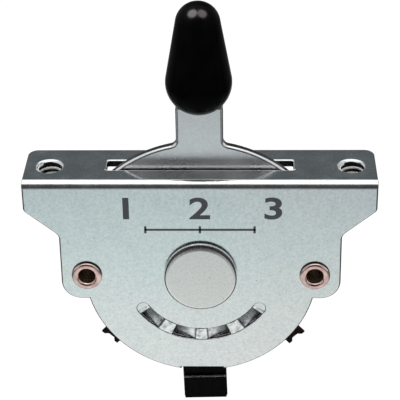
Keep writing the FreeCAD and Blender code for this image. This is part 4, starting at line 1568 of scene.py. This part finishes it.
@dataclass
class Wafer:
    """The fixed board, the rotor and all that carries current. Millimetres."""

    finishes: Finishes
    sides: tuple[str, str] = ("left", "right")
    places: tuple[str, ...] = ("common", "lower", "middle", "upper")

    def dress(self, node: str, body: Body, slot: str, finish: str, width: float) -> None:
        """Makes the dressed piece of one solid.

        Args:
            node: The solid's name.
            body: The body it moves with.
            slot: The record's material slot.
            finish: Its finish.
            width: How far its edges are rounded.
        """
        piece = EdgeBreak(width, 2).copy_of(node, f"{node}_finished")
        settled(piece, body, slot, self.finishes[finish], node)

    def build(self) -> None:
        """Makes the wafer's and the rotor's pieces."""
        self.dress("wafer", Body.FRAME, "wafer_board", "wafer_board", 0.06)
        self.dress("rotor", Body.LEVER, "rotor_board", "rotor_board", 0.05)
        for side in self.sides:
            for place in self.places:
                # The lugs' near-black finish is painted shade.
                for kind, finish in (("terminal", "lug_painted_shade"), ("finger", "terminal_tin")):
                    node = f"{place}_{kind}_{side}"
                    self.dress(node, Body.FRAME, "terminal_metal", finish, 0.05)
            for face in ("front", "rear"):
                node = f"rotor_contact_{face}_{side}"
                self.dress(node, Body.LEVER, "contact_silver", "contact_silver", 0.03)
        self.dress("terminal_rivets", Body.FRAME, "rivet_brass", "rivet_brass", 0.1)
        self.dress("rotor_rivets", Body.LEVER, "rivet_brass", "rivet_brass", 0.03)


# Studio

# The floor's colour by place: from the front to the rear, and from left to right, in metres.
FLOOR_ALONG = [
    (-0.200, (0.26, 0.26, 0.27)), (-0.165, (0.22, 0.22, 0.23)), (-0.132, (0.04, 0.04, 0.045)),
    (-0.116, (0.68, 0.70, 0.71)), (-0.090, (0.62, 0.67, 0.69)), (-0.080, (0.60, 0.68, 0.695)),
    (-0.068, (0.69, 0.775, 0.77)), (-0.056, (0.765, 0.84, 0.82)), (-0.040, (0.86, 0.88, 0.86)),
    (-0.014, (0.93, 0.93, 0.92)), (-0.006, (0.20, 0.20, 0.21)), (0.025, (0.14, 0.14, 0.15)),
    (0.080, (0.80, 0.80, 0.80)), (0.200, (0.85, 0.85, 0.85)),
]
FLOOR_ACROSS = [
    (-0.30, (0.45, 0.45, 0.46)), (-0.075, (0.30, 0.30, 0.31)), (-0.045, (0.98, 1.01, 1.01)),
    (-0.010, (1.0, 1.02, 1.02)), (0.012, (0.97, 0.96, 0.96)), (0.045, (0.92, 0.90, 0.91)),
    (0.075, (0.28, 0.28, 0.29)), (0.30, (0.45, 0.45, 0.46)),
]
PLAIN, COOL, WARM = (1.0, 1.0, 1.0), (0.90, 1.0, 1.06), (1.15, 0.93, 0.98)
# The light from around: degrees from the front over the top, level and tint.
TENT_LEVELS = [
    (-180, 0.20, PLAIN), (-5, 0.25, PLAIN), (0, 0.04, WARM), (20, 0.04, WARM), (26, 0.09, PLAIN),
    (36, 0.09, PLAIN), (50, 0.05, PLAIN), (54, 1.45, PLAIN), (122, 1.45, PLAIN),
    (132, 0.125, COOL), (165, 0.115, COOL), (180, 0.30, PLAIN),
]


@dataclass
class Studio:
    """Camera, pale floor and soft light."""

    azimuth: float = 1.98
    elevation: float = 29.07
    roll: float = -0.97
    distance_mm: float = 218.8
    target_mm: Colour = (-0.08, 0.0, -5.30)
    lens_mm: float = 142.6
    sensor_mm: float = 36.0
    floor_z_mm: float = -46.0
    floor_half_mm: float = 900.0
    floor_top: float = 1.2
    tent_top: float = 2.0
    tent_sides: Colour = (0.34, 0.345, 0.35)
    shown_level: float = 1.04
    box_size: float = 0.30
    box_distance: float = 0.4
    box_colour: Colour = (1.0, 0.89, 0.92)
    crown_height: float = 0.021

    def camera(self) -> None:
        """Sets the camera at the photograph's place."""
        a, e, r = (math.radians(v) for v in (self.azimuth, self.elevation, self.roll))
        back = Vector((math.sin(a) * math.cos(e), -math.cos(a) * math.cos(e), math.sin(e)))
        across = Vector((math.cos(a), math.sin(a), 0))
        upward = back.cross(across)
        right = across * math.cos(r) + upward * math.sin(r)
        up = upward * math.cos(r) - across * math.sin(r)
        data = bpy.data.cameras.new("camera")
        data.lens = self.lens_mm
        data.sensor_width = self.sensor_mm
        data.clip_start = 0.01
        camera = bpy.data.objects.new("camera", data)
        place = (Vector(self.target_mm) + back * self.distance_mm) * MM
        turn = Matrix((right, up, back)).transposed().to_4x4()
        camera.matrix_world = Matrix.Translation(place) @ turn
        bpy.context.scene.collection.objects.link(camera)
        bpy.context.scene.camera = camera

    @staticmethod
    def ramp(
        tree: bpy.types.NodeTree, value: bpy.types.NodeSocket, low: float, high: float,
        stops: Stops, top: float = 1.0,
    ) -> bpy.types.NodeSocket:
        """A colour ramp over any range.

        Args:
            tree: The node tree it goes in.
            value: The socket that drives it.
            low: The value at its start.
            high: The value at its end.
            stops: Values, each with its colour.
            top: The level that its colours are divided by.

        Returns:
            The colour socket.
        """
        scaled = tree.nodes.new("ShaderNodeMapRange")
        scaled.inputs["From Min"].default_value = low
        scaled.inputs["From Max"].default_value = high
        ramp = tree.nodes.new("ShaderNodeValToRGB")
        fill_ramp(
            ramp, [((at - low) / (high - low), tuple(c / top for c in tint)) for at, tint in stops]
        )
        tree.links.new(value, scaled.inputs["Value"])
        tree.links.new(scaled.outputs["Result"], ramp.inputs["Fac"])
        return ramp.outputs["Color"]

    @staticmethod
    def split_place(tree: bpy.types.NodeTree, place: str) -> bpy.types.Node:
        """Splits a texture coordinate.

        Args:
            tree: The node tree it goes in.
            place: The coordinate's name.

        Returns:
            The node with its X, Y and Z.
        """
        coords = tree.nodes.new("ShaderNodeTexCoord")
        split = tree.nodes.new("ShaderNodeSeparateXYZ")
        tree.links.new(coords.outputs[place], split.inputs[0])
        return split

    def shown_white(
        self, tree: bpy.types.NodeTree, glow: bpy.types.Node, kind: str, output: bpy.types.Node
    ) -> None:
        """Lets the camera see plain white where everything else sees the glow.

        Args:
            tree: The node tree.
            glow: The shader that lights and is mirrored.
            kind: The shader node type to use for the white.
            output: The tree's output node.
        """
        plain = tree.nodes.new(kind)
        plain.inputs["Color"].default_value = (1, 1, 1, 1)
        plain.inputs["Strength"].default_value = self.shown_level
        seen = tree.nodes.new("ShaderNodeLightPath")
        choose = tree.nodes.new("ShaderNodeMixShader")
        tree.links.new(seen.outputs["Is Camera Ray"], choose.inputs[0])
        tree.links.new(glow.outputs[0], choose.inputs[1])
        tree.links.new(plain.outputs[0], choose.inputs[2])
        tree.links.new(choose.outputs[0], output.inputs["Surface"])

    def floor(self) -> None:
        """A plain pale floor that gives the plate its soft fade from below."""
        h, z = self.floor_half_mm * MM, self.floor_z_mm * MM
        mesh = bpy.data.meshes.new("floor")
        mesh.from_pydata([(-h, -h, z), (h, -h, z), (h, h, z), (-h, h, z)], [], [(0, 1, 2, 3)])
        floor = piece_from(mesh, "floor")
        material = bpy.data.materials.new("pale_floor")
        material.use_nodes = True
        tree = material.node_tree
        tree.nodes.clear()
        split = self.split_place(tree, "Object")
        glow = tree.nodes.new("ShaderNodeEmission")
        output = tree.nodes.new("ShaderNodeOutputMaterial")
        top = self.floor_top
        along = self.ramp(tree, split.outputs["Y"], -0.20, 0.20, FLOOR_ALONG, top)
        across = self.ramp(tree, split.outputs["X"], -0.30, 0.30, FLOOR_ACROSS, top)
        product = tree.nodes.new("ShaderNodeVectorMath")
        product.operation = "MULTIPLY"
        tree.links.new(along, product.inputs[0])
        tree.links.new(across, product.inputs[1])
        glow.inputs["Strength"].default_value = top * top
        tree.links.new(product.outputs[0], glow.inputs["Color"])
        self.shown_white(tree, glow, "ShaderNodeEmission", output)
        mesh.materials.append(material)

    def surroundings(self) -> None:
        """Soft light from overhead and the front, dark near the horizon as in a light tent."""
        world = bpy.data.worlds.new("studio")
        bpy.context.scene.world = world
        world.use_nodes = True
        tree = world.node_tree
        tree.nodes.clear()
        split = self.split_place(tree, "Generated")
        forward = tree.nodes.new("ShaderNodeMath")
        forward.operation = "MULTIPLY"
        forward.inputs[1].default_value = -1
        turn = tree.nodes.new("ShaderNodeMath")
        turn.operation = "ARCTAN2"
        light = tree.nodes.new("ShaderNodeBackground")
        light.inputs["Strength"].default_value = self.tent_top
        output = tree.nodes.new("ShaderNodeOutputWorld")
        tree.links.new(split.outputs["Y"], forward.inputs[0])
        tree.links.new(split.outputs["Z"], turn.inputs[0])
        tree.links.new(forward.outputs[0], turn.inputs[1])
        stops = [(math.radians(a), tuple(level * c for c in tint)) for a, level, tint in TENT_LEVELS]
        shade = self.ramp(tree, turn.outputs[0], -math.pi, math.pi, stops, self.tent_top)
        sideways = tree.nodes.new("ShaderNodeMath")
        sideways.operation = "ABSOLUTE"
        tree.links.new(split.outputs["X"], sideways.inputs[0])
        sides = [(0.36, (0, 0, 0)), (0.62, (1, 1, 1))]
        share = self.ramp(tree, sideways.outputs[0], 0.0, 1.0, sides)
        tent = tree.nodes.new("ShaderNodeMix")
        tent.data_type = "RGBA"
        tree.links.new(share, tent.inputs[0])
        tree.links.new(shade, tent.inputs[6])
        tent.inputs[7].default_value = (*self.tent_sides, 1)
        tree.links.new(tent.outputs[2], light.inputs["Color"])
        self.shown_white(tree, light, "ShaderNodeBackground", output)

    def softboxes(self, knob: bpy.types.Object) -> None:
        """Two round softboxes overhead, set for the knob's crown alone.

        Args:
            knob: The piece that they light.
        """
        lit = bpy.data.collections.new("lit_by_softboxes")
        lit.objects.link(knob)
        crown = Vector((0, 0, self.crown_height))
        for name, way, watts in (
            ("softbox_left", (-0.383, -0.20, 0.91), 27.0),
            ("softbox_right", (0.365, -0.215, 0.92), 17.0),
        ):
            lamp = bpy.data.lights.new(name, "AREA")
            lamp.shape = "DISK"
            lamp.size = self.box_size
            lamp.energy = watts
            lamp.color = self.box_colour
            light = bpy.data.objects.new(name, lamp)
            aim = Vector(way).normalized()
            light.location = crown + aim * self.box_distance
            light.rotation_euler = (-aim).to_track_quat("-Z", "Y").to_euler()
            light.light_linking.receiver_collection = lit
            bpy.context.scene.collection.objects.link(light)

    def build(self) -> None:
        """Sets up the studio."""
        self.camera()
        self.floor()
        self.surroundings()
        bpy.context.scene.view_settings.view_transform = "Standard"


def main() -> None:
    """Builds the studio and every sub-assembly in order."""
    logging.basicConfig(level=logging.INFO, format="%(message)s")
    studio = Studio()
    studio.build()
    finishes = Finishes()
    Bracket(finishes).build()
    lever = LeverAssembly(finishes)
    lever.build()
    studio.softboxes(lever.knob_piece)
    DetentSpring(finishes).build()
    Eyelets(finishes).build()
    Wafer(finishes).build()


if __name__ == "__main__":
    main()
